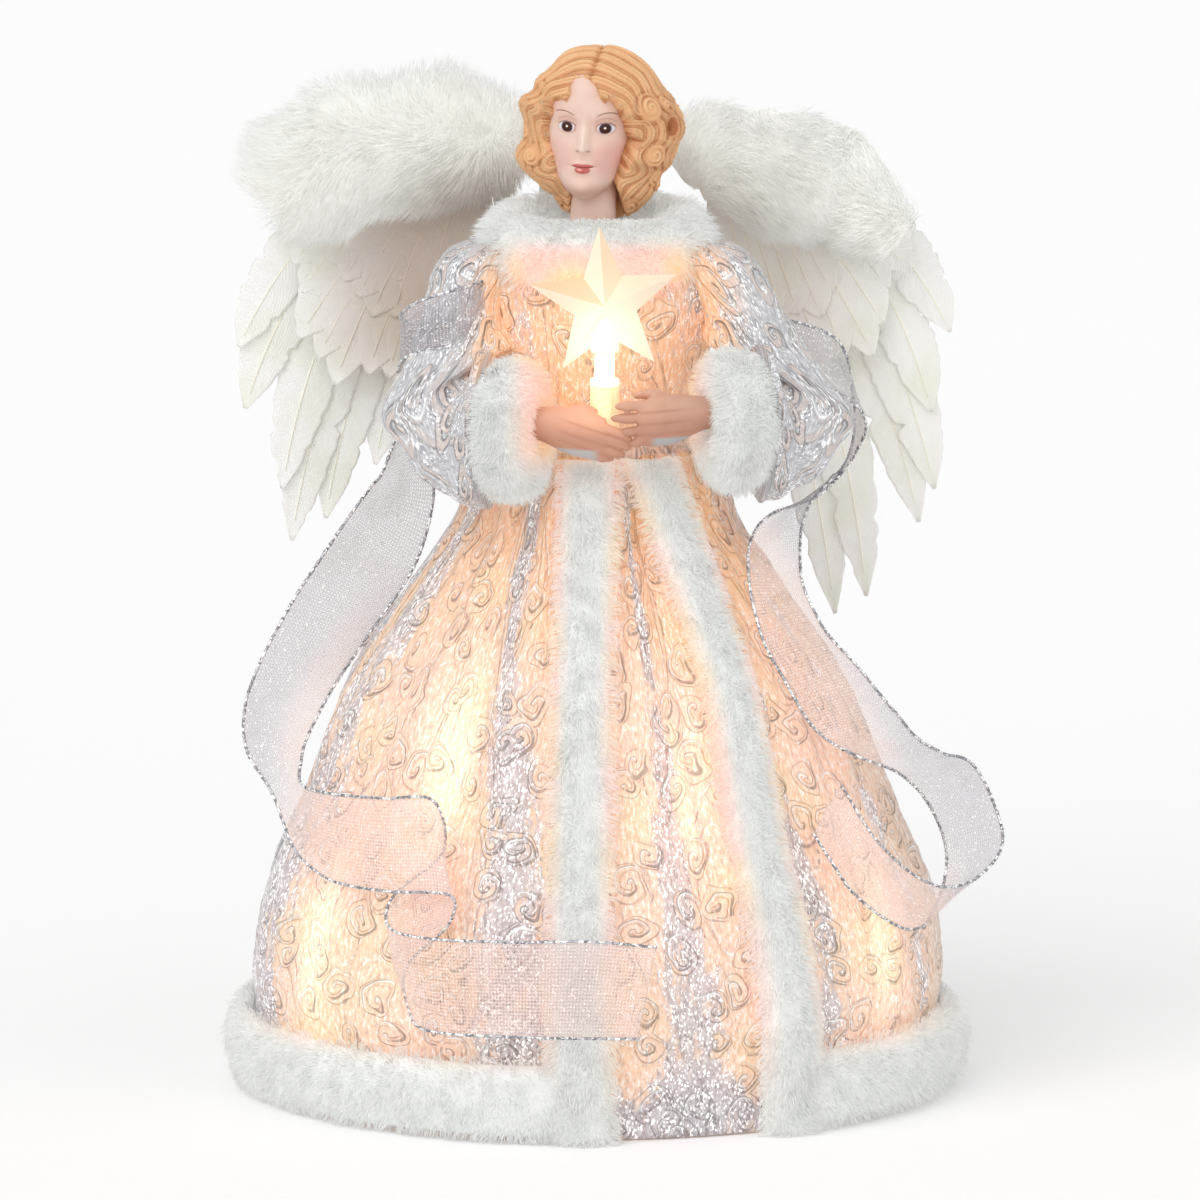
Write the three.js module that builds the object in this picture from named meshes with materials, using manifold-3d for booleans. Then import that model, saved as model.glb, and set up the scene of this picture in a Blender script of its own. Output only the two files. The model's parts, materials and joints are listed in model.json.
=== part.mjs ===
// Lighted angel tree topper: a robed doll on a hollow cone that stands over the tip of a tree.
// Millimetres, +Z up. The figure faces -Y, and the axis of the cone is the Z axis.

import * as THREE from "three";
import { mergeVertices } from "three/addons/utils/BufferGeometryUtils.js";
import { LoftGeometry } from "three/addons/geometries/LoftGeometry.js";
import Module from "manifold-3d";

const wasm = await Module();
wasm.setup();

// Clearances shared by every fit
const seatGap = 0.3; // between a piece and the piece that carries it
const coverGap = 0.9; // between the cloth of the skirt and what lies on it
const cutOverrun = 1; // how far a cutting tool runs past the face that it opens

// Cone that carries the figure
const coneFootRadius = 88;
const coneNeckRadius = 33.5;
const coneShoulderHeight = 158;
const coneNeckHeight = 14.5;
const coneHeight = coneShoulderHeight + coneNeckHeight;
const coneWall = 2;
const rimWidth = 5;
const rimHeight = 2.4;
const leadNotchWidth = 7;
const leadNotchHeight = 5;

// Tube that takes the tip of the tree
const tipBoreRadius = 12;
const tipTubeWall = 1.6;
const tipTubeLength = 104;

// Skirt
const waistRise = 1.5; // waist above the top of the cone
const skirtTop = coneHeight + waistRise;
const hemHeight = 3;
const hemStandoff = 10; // from the foot of the cone out to the cloth
const hemRadius = coneFootRadius + hemStandoff;
const waistStandoff = 4.2; // from the neck of the cone out to the cloth
const waistRadius = coneNeckRadius + waistStandoff;
const clothThickness = 1.2;
const foldDepth = 2.4;
const foldCount = 13;
const pleatDepth = 3.6;

// Fur trim
const furStripWidth = 25;
const furStripThickness = 8;
const hemFurHeight = 24;
const hemFurThickness = 7.5;
const furLift = 0.4; // clearance under the fur above the floor

// Bodice and torso
const bodiceHeight = 73;
const bodiceTop = skirtTop + bodiceHeight;
const bodiceHalfWidth = 36;
const bodiceHalfDepth = 27;
const coreHalfWidth = 19;
const coreHalfDepth = 14;
const coreHeight = 68.5;
const coreTop = coneHeight + coreHeight;
const neckHoleRadius = 9.2;

// Head casting
const neckLength = 23; // from the top of the core to the chin
const chinHeight = coreTop + neckLength;
const headHeight = 37.5;
const faceHalfWidth = 11.6;
const headHalfDepth = 14.5;
const headTurn = -9; // degrees, towards the figure's right
const headCentreY = -1.5;
const neckRadius = 6.8;
const neckFlare = 1.5;
const pegRadius = 4;
const pegLength = 7;
const hairHalfWidth = 20;
const hairHalfDepth = 16.5;
const hairHalfHeight = 19.5;
const lockRadius = 3.7;
const lockCount = 7;
const curlDrop = 30; // how far the curls reach below the middle of the hair

// Fur collar
const collarHalfWidth = 28.5;
const collarHalfDepth = 21;
const collarRollRadius = 12.5;
const collarRise = 5; // middle of the collar above the core
const collarMiddle = coreTop + collarRise;

// Arms, sleeves and cuffs
const shoulderReach = 37;
const shoulderForward = 3;
const shoulderDrop = 1; // shoulder below the top of the core
const shoulderHeight = coreTop - shoulderDrop;
const upperArmRadius = 13.5;
const cuffReach = 32;
const handsShift = 8; // how far both hands are held to the side
const elbowReach = 53.5;
const elbowShift = 6.5; // how far the elbows follow the hands
const elbowForward = 24;
const elbowDrop = 37; // elbow below the shoulder
const elbowHeight = shoulderHeight - elbowDrop;
const sleeveEndHalfHeight = 24;
const sleeveEndHalfDepth = 14;
const cuffForward = 41;
const armDrop = 40.3; // forearm below the shoulder
const armHeight = shoulderHeight - armDrop;
const armStagger = 1.4; // how far one hand is above the middle of the two
const armAngle = 25; // degrees that the forearm turns forward from the side
const cuffWidth = 15;
const cuffHalfHeight = 20.5;
const cuffHalfDepth = 15;
const cuffBoreRadius = 7.2;
const armWireRadius = 1.5;
const wristRadius = 4.6;
const palmHalfWidth = 7.4;
const palmHalfThickness = 3.1;
const palmLength = 13;
const fingerLength = 14;
const fingerRadius = 1.75;

// Star light held between the hands
const starX = 2.5;
const starY = -47.5;
const holderRadius = 4.3;
const holderDrop = 0.3; // foot of the socket below the forearms
const holderBottom = armHeight - holderDrop;
const holderLength = 13;
const holderWall = 0.9;
const plugLength = 8;
const bulbRadius = 3;
const bulbLength = 27;
const bulbFlangeThickness = 1.6;
const starRadius = 22.5;
const starWaistRadius = 9.5;
const starThickness = 12.5;
const starCentreRise = 24; // middle of the star above the top of the holder
const starNeckWall = 1.1;
const starTilt = 4; // degrees

// Lights under the skirt
const socketRadius = 4.2;
const socketWall = 0.9;
const socketOutside = 5;
const socketInside = 8;
const lampRadius = 2.9;
const lampLength = 12;
const lampPlugLength = 7;
const harnessRadius = 1.2;

// Ribbons
const ribbonWidth = 25.4;
const ribbonThickness = 0.6;
const ribbonRise = 174; // what a share of 1 above the waist stands for

// Wings
const wingHingeX = 14;
const wingHingeY = 39;
const wingSpan = 104; // from the axis of the cone to the outermost feather
const wingRise = 5; // middle of the hinges above the bodice
const wingHeight = bodiceTop + wingRise;
const wingWireRadius = 1.1;
const hingeSleeveWall = 1.1;
const hingeSleeveLength = 16;
const plateDrop = 31; // foot of the plate below the top of the bodice
const plateHeight = wingRise + plateDrop + hingeSleeveLength / 2;
const plateThickness = 2;
const featherWidth = 17;
const featherThickness = 1.2;
const featherEdge = 0.35;
const featherDrop = 92; // how far the longest feather hangs below the wire
const covertThickness = 1.3;
const fluffRadius = 19;
const fluffHalfDepth = 8.5;

const degrees = THREE.MathUtils.degToRad;
const lerp = THREE.MathUtils.lerp;

// Shared geometry tools

/** Value of a table of [place, value] rows, on a smooth curve through all rows. */
function through(rows, place) {
  const last = rows.length - 1;
  let i = 0;
  while (i < last - 1 && place > rows[i + 1][0]) i += 1;
  const slope = (j) => {
    const [before, after] = [rows[Math.max(j - 1, 0)], rows[Math.min(j + 1, last)]];
    return (after[1] - before[1]) / (after[0] - before[0]);
  };
  const span = rows[i + 1][0] - rows[i][0];
  const t = THREE.MathUtils.clamp((place - rows[i][0]) / span, 0, 1);
  const start = (2 * t ** 3 - 3 * t ** 2 + 1) * rows[i][1];
  const end = (3 * t ** 2 - 2 * t ** 3) * rows[i + 1][1];
  const leaving = (t ** 3 - 2 * t ** 2 + t) * slope(i) * span;
  const arriving = (t ** 3 - t ** 2) * slope(i + 1) * span;
  return start + end + leaving + arriving;
}

/** The geometry with shared corners and every face turned outwards. */
function closed(geometry) {
  const bare = new THREE.BufferGeometry();
  const source = geometry.index ? geometry : mergeVertices(geometry);
  bare.setAttribute("position", source.getAttribute("position").clone());
  bare.setIndex(Array.from(source.index.array));
  const merged = mergeVertices(bare);
  const [place, corners] = [merged.getAttribute("position"), Array.from(merged.index.array)];
  const point = (i) => new THREE.Vector3().fromBufferAttribute(place, corners[i]);
  const kept = [];
  let volume = 0;
  for (let i = 0; i < corners.length; i += 3) {
    const [a, b, c] = [corners[i], corners[i + 1], corners[i + 2]];
    if (a === b || b === c || c === a) continue;
    kept.push(a, b, c);
    volume += point(i).dot(point(i + 1).cross(point(i + 2)));
  }
  merged.setIndex(volume < 0 ? kept.reverse() : kept);
  return merged;
}

/** A solid for boolean joins and cuts. */
function solid(geometry) {
  const shape = closed(geometry);
  const vertProperties = new Float32Array(shape.getAttribute("position").array);
  const triVerts = new Uint32Array(shape.index.array);
  return new wasm.Manifold(new wasm.Mesh({ numProp: 3, vertProperties, triVerts }));
}

/** The geometry of a solid. */
function geometryOf(body) {
  const mesh = body.getMesh();
  const geometry = new THREE.BufferGeometry();
  geometry.setAttribute("position", new THREE.BufferAttribute(new Float32Array(mesh.vertProperties), 3));
  geometry.setIndex(Array.from(mesh.triVerts));
  return geometry;
}

/** One body made of several that run into each other, with the pockets shut in between them filled. */
function join(...geometries) {
  const joined = geometries.map(solid).reduce((all, next) => all.add(next));
  const shells = joined.decompose();
  return geometryOf(shells.reduce((outer, next) => (next.volume() > outer.volume() ? next : outer)));
}

/** A body with the space of each tool taken away. */
function cut(geometry, ...tools) {
  return geometryOf(tools.map(solid).reduce((left, tool) => left.subtract(tool), solid(geometry)));
}

/** The middle of a ring of points. */
function middleOf(points) {
  return points.reduce((sum, point) => sum.add(point), new THREE.Vector3()).divideScalar(points.length);
}

/** Whether rings turn left-handed about the way that they run, so that their skin would face in. */
function facesIn(rings) {
  const [middle, ahead] = [middleOf(rings[0]), middleOf(rings[1])];
  const area = new THREE.Vector3();
  rings[0].forEach((point, i) => {
    const next = rings[0][(i + 1) % rings[0].length];
    area.add(point.clone().sub(middle).cross(next.clone().sub(middle)));
  });
  return area.dot(ahead.sub(middle)) < 0;
}

/** A closed body skinned through rings of points; a looped one joins its last ring to its first. */
function skin(rings, looped = false) {
  const turned = facesIn(rings) ? rings.map((points) => [...points].reverse()) : rings;
  const sections = looped ? [...turned, turned[0]] : turned;
  return closed(new LoftGeometry(sections, { capStart: !looped, capEnd: !looped }));
}

/** A ring of points round a centre, between two half axes, with an optional ripple of the radius. */
function ring(centre, across, up, count, ripple = () => 1) {
  return Array.from({ length: count }, (_, i) => {
    const angle = (i / count) * Math.PI * 2;
    const swell = ripple(angle);
    return centre.clone()
      .addScaledVector(across, Math.cos(angle) * swell)
      .addScaledVector(up, Math.sin(angle) * swell);
  });
}

/** A round bar along a smooth path, with its radius given along the path from 0 to 1. */
function bar(points, radiusAt, sides, steps) {
  const path = new THREE.CatmullRomCurve3(points, false, "centripetal");
  const frames = path.computeFrenetFrames(steps, false);
  const rings = [];
  for (let i = 0; i <= steps; i += 1) {
    const radius = radiusAt(i / steps);
    const across = frames.normals[i].clone().multiplyScalar(radius);
    const up = frames.binormals[i].clone().multiplyScalar(radius);
    rings.push(ring(path.getPointAt(i / steps), across, up, sides));
  }
  return skin(rings);
}

/** A body of revolution about +Z from a profile of [radius, height] pairs that closes on itself. */
function revolved(profile, segments) {
  const outline = [...profile, profile[0]].map(([radius, height]) => new THREE.Vector2(radius, height));
  return closed(new THREE.LatheGeometry(outline, segments).rotateX(Math.PI / 2));
}

/** A cylinder about +Z between two heights. */
function drum(radius, bottom, top, segments) {
  const height = top - bottom;
  const body = new THREE.CylinderGeometry(radius, radius, height, segments);
  return body.rotateX(Math.PI / 2).translate(0, 0, bottom + height / 2);
}

/** A geometry made about +Z, turned so that +Z lies along a direction, and moved to a place. */
function aimed(geometry, direction, place) {
  const turn = new THREE.Quaternion().setFromUnitVectors(new THREE.Vector3(0, 0, 1), direction);
  return geometry.applyQuaternion(turn).translate(place.x, place.y, place.z);
}

const angel = new THREE.Group();

/** Adds a named piece to a group, with its own material. */
function piece(name, geometry, look, group = angel) {
  const material = new THREE.MeshStandardMaterial(look);
  const mesh = new THREE.Mesh(geometry, material);
  mesh.name = name;
  group.add(mesh);
  return mesh;
}

const looks = {
  cone: { color: 0xe9e4da, roughness: 0.7, metalness: 0 },
  tube: { color: 0xd9d2c4, roughness: 0.8, metalness: 0 },
  socket: { color: 0xf2f0ea, roughness: 0.5, metalness: 0 },
  lamp: { color: 0xffe2a8, roughness: 0.1, metalness: 0, emissive: 0xffb040 },
  wire: { color: 0xf4f2ee, roughness: 0.5, metalness: 0 },
  brocade: { color: 0xe8c9a8, roughness: 0.4, metalness: 0.4 },
  silver: { color: 0xb4b7ba, roughness: 0.35, metalness: 0.7 },
  fur: { color: 0xe6ebe8, roughness: 1, metalness: 0 },
  resin: { color: 0xb98c78, roughness: 0.45, metalness: 0 },
  head: { color: 0xe0b18a, roughness: 0.45, metalness: 0 },
  star: { color: 0xffe9c4, roughness: 0.1, metalness: 0, emissive: 0xffc070 },
  foam: { color: 0xf0ece4, roughness: 0.9, metalness: 0 },
  organza: { color: 0xc4c4c6, roughness: 0.5, metalness: 0.3 },
  feather: { color: 0xecece0, roughness: 0.9, metalness: 0 },
  steel: { color: 0x9a9a96, roughness: 0.4, metalness: 0.9 },
};

// Cone, tip tube and lights

/** Outer radius of the cone at a height. */
function coneRadius(height) {
  const share = THREE.MathUtils.clamp(height / coneShoulderHeight, 0, 1);
  return lerp(coneFootRadius, coneNeckRadius, share);
}

const coneLean = Math.atan2(coneFootRadius - coneNeckRadius, coneShoulderHeight);

/** Outward direction of the cone's wall at an angle from the front. */
function coneNormal(angle) {
  const flat = Math.cos(coneLean);
  return new THREE.Vector3(Math.sin(angle) * flat, -Math.cos(angle) * flat, Math.sin(coneLean));
}

/** A point at an angle, radius and height, with the angle measured from the front towards +X. */
function polar(angle, radius, height) {
  return new THREE.Vector3(Math.sin(angle) * radius, -Math.cos(angle) * radius, height);
}

// Angle from the front in degrees, and height as a share of the cone's shoulder
const lightPlaces = [
  { angle: -148, heightShare: 0.42 },
  { angle: -56, heightShare: 0.32 },
  { angle: -33, heightShare: 0.66 },
  { angle: 18, heightShare: 0.6 },
  { angle: 56, heightShare: 0.34 },
  { angle: 148, heightShare: 0.42 },
];

/** The place on the cone's wall and the outward direction of one light. */
function lightSeat({ angle, heightShare }) {
  const [turn, height] = [degrees(angle), heightShare * coneShoulderHeight];
  return { place: polar(turn, coneRadius(height), height), outward: coneNormal(turn) };
}

function coneBody() {
  const flangeRadius = coneFootRadius + rimWidth - coneWall;
  const profile = [
    [coneFootRadius - coneWall, 0],
    [flangeRadius, 0],
    [flangeRadius, rimHeight],
    [coneRadius(rimHeight), rimHeight],
    [coneNeckRadius, coneShoulderHeight],
    [coneNeckRadius, coneHeight],
    [0, coneHeight],
    [0, coneHeight - coneWall],
    [coneNeckRadius - coneWall, coneHeight - coneWall],
    [coneNeckRadius - coneWall, coneShoulderHeight],
  ];
  const holes = lightPlaces.map((spot) => {
    const { place, outward } = lightSeat(spot);
    const reach = coneWall + socketOutside;
    return aimed(drum(socketRadius + seatGap, -reach, reach, 12), outward, place);
  });
  const notch = new THREE.BoxGeometry(leadNotchWidth, rimWidth * 4, leadNotchHeight * 2);
  notch.translate(0, coneFootRadius, 0);
  return cut(revolved(profile, 40), notch, ...holes);
}

function tipTube() {
  const outer = tipBoreRadius + tipTubeWall;
  const top = coneHeight - coneWall - seatGap;
  const bottom = top - tipTubeLength;
  const profile = [
    [tipBoreRadius, bottom],
    [outer, bottom],
    [outer, top - tipTubeWall],
    [outer + rimWidth, top - tipTubeWall],
    [outer + rimWidth, top],
    [tipBoreRadius, top],
  ];
  return revolved(profile, 16);
}

/** A lamp socket along +Z with the cone's wall surface at zero height. */
function lampSocket() {
  const flange = socketRadius + socketWall;
  const bore = socketRadius - socketWall;
  const floor = socketOutside - lampPlugLength - seatGap;
  const profile = [
    [0, -socketInside],
    [socketRadius, -socketInside],
    [socketRadius, seatGap],
    [flange, seatGap],
    [flange, seatGap + socketWall],
    [socketRadius, seatGap + socketWall],
    [socketRadius, socketOutside],
    [bore, socketOutside],
    [bore, floor],
    [0, floor],
  ];
  return revolved(profile, 8);
}

/** A small pointed lamp with its plug in the socket. */
function lamp() {
  const plug = socketRadius - socketWall - seatGap;
  const foot = socketOutside - lampPlugLength;
  const glass = (share) => socketOutside + seatGap + share * lampLength;
  const profile = [
    [0, foot],
    [plug, foot],
    [plug, glass(0)],
    [lampRadius, glass(0.06)],
    [lampRadius, glass(0.55)],
    [lampRadius * 0.7, glass(0.8)],
    [lampRadius * 0.25, glass(0.96)],
    [0, glass(1)],
  ];
  return revolved(profile, 8);
}

/** The lead that joins the backs of the sockets and ends at the notch in the rear of the rim. */
function harness() {
  const depth = socketInside + harnessRadius + seatGap;
  const stops = [{ angle: -179, heightShare: 0.05 }, ...lightPlaces, { angle: 174, heightShare: 0.2 }];
  const rest = (t) => {
    const rows = (key) => stops.map((stop, i) => [i / (stops.length - 1), stop[key]]);
    return { angle: through(rows("angle"), t), heightShare: through(rows("heightShare"), t) };
  };
  const steps = stops.length * 4;
  const points = Array.from({ length: steps + 1 }, (_, i) => {
    const { place, outward } = lightSeat(rest(i / steps));
    return place.addScaledVector(outward, -depth);
  });
  return bar(points, () => harnessRadius, 5, steps);
}

function addCone() {
  piece("base_cone", coneBody(), looks.cone);
  piece("tree_tip_tube", tipTube(), looks.tube);
  lightPlaces.forEach((spot, i) => {
    const { place, outward } = lightSeat(spot);
    piece(`light_socket_${i + 1}`, aimed(lampSocket(), outward, place), looks.socket);
    piece(`light_bulb_${i + 1}`, aimed(lamp(), outward, place), looks.lamp);
  });
  piece("light_wire", harness(), looks.wire);
}

// Skirt, front panel and the fur laid on them

// Share of the height of the skirt, then share of the way from the waist to the hem radius
const skirtFlareShares = [
  [0, 0.985], [0.05, 1], [0.145, 1.033], [0.2, 1.055], [0.34, 0.985],
  [0.49, 0.805], [0.68, 0.585], [0.86, 0.235], [0.95, 0.06], [1, 0],
];
// Share of the height, then share of the full depth of the folds
const foldDepthShares = [[0, 0.15], [0.12, 0.35], [0.3, 0.9], [0.55, 1], [0.8, 0.8], [1, 0.3]];
// Deep pleats: angle from the front and half width, both in degrees
const pleats = [{ angle: -19, spread: 6 }, { angle: 47, spread: 5 }, { angle: -74, spread: 6 }];
// The cloth is faceted in columns of this many degrees and in rows at these shares of its height
const columnStep = 5;
const rowShares = [0, 0.2, 0.36, 0.52, 0.68, 0.85, 1];
// The robe is open in front from this angle to this many columns to the right of it
const openingLeft = -2.5;
const openingColumns = 7;
const openingRight = openingLeft + openingColumns * columnStep;
const fullTurn = 360;

/** Outer radius of the draped cloth at an angle in degrees from the front and a height. */
function drapeRadius(angle, height) {
  const share = THREE.MathUtils.clamp(height / skirtTop, 0, 1);
  const plain = lerp(waistRadius, hemRadius, through(skirtFlareShares, share));
  const turn = degrees(angle);
  const sway = Math.sin(foldCount * turn + 0.8 * Math.sin(2 * turn));
  const pleat = pleats.reduce((sum, { angle: middle, spread }) => {
    const away = THREE.MathUtils.euclideanModulo(angle - middle + fullTurn / 2, fullTurn) - fullTurn / 2;
    return sum + Math.exp(-((away / spread) ** 2));
  }, 0);
  const depth = through(foldDepthShares, share);
  return plain + depth * (foldDepth * (0.5 * sway - 0.5) + pleatDepth * pleat * 0.5);
}

/** Outer radius of the faceted skirt, straight between its columns and rows. */
function skirtRadius(angle, height) {
  const place = (THREE.MathUtils.radToDeg(angle) - openingLeft) / columnStep;
  const column = Math.floor(place);
  const share = THREE.MathUtils.clamp((height - hemHeight) / (skirtTop - hemHeight), 0, 1);
  let row = 0;
  while (row < rowShares.length - 2 && share > rowShares[row + 1]) row += 1;
  const rise = (share - rowShares[row]) / (rowShares[row + 1] - rowShares[row]);
  const corner = (aside, up) => drapeRadius(
    openingLeft + (column + aside) * columnStep, lerp(hemHeight, skirtTop, rowShares[row + up]));
  const low = lerp(corner(0, 0), corner(1, 0), place - column);
  const high = lerp(corner(0, 1), corner(1, 1), place - column);
  return lerp(low, high, rise);
}

/** A point lifted off the surface of the skirt. */
function onSkirt(angle, height, lift) {
  return polar(angle, skirtRadius(angle, height) + lift, height);
}

/** A standing sheet of cloth from an angle in degrees over some columns, sunk below the skirt's face. */
function clothSheet(from, columns, sunk) {
  const sections = [];
  for (let i = 0; i <= columns; i += 1) {
    const angle = degrees(from + i * columnStep);
    const face = (depth) => rowShares.map((share) => onSkirt(angle, lerp(hemHeight, skirtTop, share), -depth));
    sections.push([...face(sunk), ...face(sunk + clothThickness).reverse()]);
  }
  return skin(sections);
}

/** A roll of fur that climbs the skirt along an edge of the opening. */
function furStrip(middleAt, bottom, top) {
  const inside = rowShares.flatMap((share, i) => (i ? [(rowShares[i - 1] + share) / 2, share] : [])).slice(0, -1);
  const heights = [bottom, ...inside.map((share) => lerp(hemHeight, skirtTop, share)), top];
  const outerShares = [[-1, 0.25], [-0.8, 0.75], [-0.4, 1], [0.1, 1], [0.6, 0.9], [1, 0.25]];
  const innerShares = [0.75, 0, -0.75];
  const rings = heights.map((height, i) => {
    const share = (height - bottom) / (top - bottom);
    const radius = skirtRadius(0, height);
    const half = (furStripWidth / 2) * lerp(1.08, 0.62, share);
    const at = (side, lift) => onSkirt(degrees(middleAt(share)) + (side * half) / radius, height, lift);
    const body = furStripThickness * lerp(1, 0.75, share) * (1 + 0.06 * Math.sin(i * 2.1));
    const outer = outerShares.map(([side, lift]) => at(side, coverGap + lift * body));
    const inner = innerShares.map((side) => at(side, coverGap));
    return [...outer, ...inner];
  });
  return skin(rings);
}

const leftEdge = (share) => lerp(openingLeft, openingLeft - 1, share);
const rightEdgeShares = [[0, 1.06], [0.3, 0.98], [0.55, 0.97], [0.85, 1.04], [1, 0.86]];
const rightEdge = (share) => openingRight * through(rightEdgeShares, share);

/** The roll of fur round the hem, open in front. */
function hemFur(from, to) {
  const columns = 36;
  const outerShares = [[0.02, 0.2], [0, 0.75], [0.35, 1], [0.7, 0.85], [1, 0.2]];
  const innerShares = [0.9, 0.5, 0.1];
  const sections = [];
  for (let i = 0; i <= columns; i += 1) {
    const angle = degrees(lerp(from, to, i / columns));
    const body = hemFurThickness * (1 + 0.05 * Math.sin(i * 1.7));
    const at = (share, lift) => onSkirt(angle, lerp(furLift, hemFurHeight, share), lift);
    const outer = outerShares.map(([share, lift]) => at(share, coverGap + lift * body));
    const inner = innerShares.map((share) => at(share, coverGap));
    sections.push([...outer, ...inner]);
  }
  return skin(sections);
}

function addSkirt() {
  const tuckColumns = 2; // columns that the front panel runs behind each edge of the opening
  const skirtColumns = fullTurn / columnStep - openingColumns;
  piece("skirt", clothSheet(openingRight, skirtColumns, 0), looks.brocade);
  const panelFrom = openingLeft - tuckColumns * columnStep;
  const panel = clothSheet(panelFrom, openingColumns + 2 * tuckColumns, clothThickness + coverGap);
  piece("front_panel", panel, looks.brocade);
  const stripTop = skirtTop + seatGap;
  const stripFoot = furLift;
  piece("front_fur_left", furStrip(leftEdge, stripFoot, stripTop), looks.fur);
  piece("front_fur_right", furStrip(rightEdge, stripFoot, stripTop), looks.fur);
  const stripHalfTurn = THREE.MathUtils.radToDeg((furStripWidth * 0.54 + coverGap) / hemRadius);
  const hemFrom = rightEdge(0) + stripHalfTurn;
  const hemTo = leftEdge(0) - stripHalfTurn + fullTurn;
  piece("hem_fur", hemFur(hemFrom, hemTo), looks.fur);
}

// Bodice, torso core, head and collar

// Share of the height, then shares of the half width and the half depth
const bodiceShares = [
  [0, 1.03, 1.37], [0.08, 0.96, 1.18], [0.22, 0.9, 1], [0.42, 0.88, 0.96], [0.64, 0.97, 0.98],
  [0.83, 1, 0.9], [0.94, 0.84, 0.72], [1, 0.5, 0.52],
];

/** The outside of the bodice, grown by a clearance. */
function bodiceHull(grow) {
  const bottom = skirtTop + seatGap;
  const rings = bodiceShares.map(([share, wide, deep]) => {
    const tall = lerp(bottom, bodiceTop, share) + (share - 0.5) * 2 * grow;
    const centre = new THREE.Vector3(0, 0, tall);
    const across = new THREE.Vector3(bodiceHalfWidth * wide + grow, 0, 0);
    const up = new THREE.Vector3(0, bodiceHalfDepth * deep + grow, 0);
    return ring(centre, across, up, 20, (angle) => 1 + 0.012 * Math.cos(7 * angle));
  });
  return skin(rings);
}

/** The foam core that stands on the cone inside the bodice, grown by a clearance. */
function coreHull(grow) {
  const bottom = coneHeight + seatGap;
  const rows = [[0, 1.15], [0.3, 0.86], [0.55, 0.92], [0.82, 1], [0.95, 0.8], [1, 0.6]];
  const rings = rows.map(([share, wide]) => {
    const centre = new THREE.Vector3(0, 0, lerp(bottom - grow, coreTop + grow, share));
    const across = new THREE.Vector3(coreHalfWidth * wide + grow, 0, 0);
    return ring(centre, across, new THREE.Vector3(0, coreHalfDepth * wide + grow, 0), 14);
  });
  return skin(rings);
}

// Share of the height of the head from chin to crown, then shares: half width, front, back,
// forward reach of the nose, of the lips and chin, and depth of the eye sockets
const headShares = [
  [0, 0.3, 0.62, -0.1, 0, 0.03, 0], [0.05, 0.52, 0.78, 0.15, 0, 0.05, 0],
  [0.12, 0.69, 0.81, 0.4, 0, 0, 0], [0.17, 0.76, 0.82, 0.5, 0, 0.05, 0],
  [0.205, 0.8, 0.82, 0.56, 0, 0.02, 0], [0.235, 0.83, 0.82, 0.6, 0.02, 0.055, 0],
  [0.28, 0.87, 0.82, 0.7, 0.1, 0, 0], [0.32, 0.9, 0.82, 0.78, 0.19, 0, 0],
  [0.38, 0.95, 0.83, 0.86, 0.13, 0, 0.01], [0.46, 0.99, 0.82, 0.94, 0.07, 0, 0.05],
  [0.52, 1, 0.82, 0.98, 0.04, 0, 0.055], [0.6, 1, 0.85, 1, 0.02, 0, 0],
  [0.74, 0.97, 0.83, 1, 0, 0, 0], [0.86, 0.8, 0.67, 0.86, 0, 0, 0],
  [0.95, 0.5, 0.42, 0.56, 0, 0, 0], [1, 0.08, 0.07, 0.08, 0, 0, 0],
];

/** The face and skull, with the chin at zero height, facing -Y. */
function skull(grow) {
  const count = 20;
  const noseSpread = 0.2;
  const lipSpread = 0.42;
  const socketMiddle = 0.46;
  const socketSpread = 0.24;
  const bell = (away, spread) => Math.exp(-((away / spread) ** 2));
  const rings = headShares.map(([share, wide, front, back, nose, lip, socket]) =>
    Array.from({ length: count }, (_, i) => {
      const even = (i / count) * 2 - 1;
      const angle = Math.sign(even) * Math.abs(even) ** 1.5 * Math.PI;
      const reach = Math.cos(angle) > 0 ? front : back;
      const detail = nose * bell(angle, noseSpread) + lip * bell(angle, lipSpread)
        - socket * bell(Math.abs(angle) - socketMiddle, socketSpread);
      const x = Math.sin(angle) * (faceHalfWidth * wide + grow);
      const y = -Math.cos(angle) * (headHalfDepth * reach + grow) - headHalfDepth * detail;
      return new THREE.Vector3(x, y, share * headHeight + (share - 0.5) * 2 * grow);
    }));
  return skin(rings);
}

/** The neck and the peg that stands in the core, with the chin at zero height. */
function neck(grow) {
  const bottom = coreTop + seatGap - chinHeight;
  const wide = neckRadius + neckFlare + grow;
  const profile = [
    [0, bottom - pegLength - grow],
    [pegRadius + grow, bottom - pegLength - grow],
    [pegRadius + grow, bottom - grow],
    [wide, bottom - grow],
    [wide, bottom + neckFlare],
    [neckRadius + grow, bottom + neckFlare * 4],
    [neckRadius + grow, headHeight * 0.3],
    [0, headHeight * 0.3],
  ];
  return revolved(profile, 16);
}

/** The cap of hair behind and above the face. */
function hairCap(grow) {
  const cap = new THREE.SphereGeometry(1, 14, 8);
  cap.rotateX(Math.PI / 2);
  cap.scale(hairHalfWidth + grow, hairHalfDepth + grow, hairHalfHeight + grow);
  return cap.translate(0, headHalfDepth * 0.36, headHeight - hairHalfHeight * 0.95);
}

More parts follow.
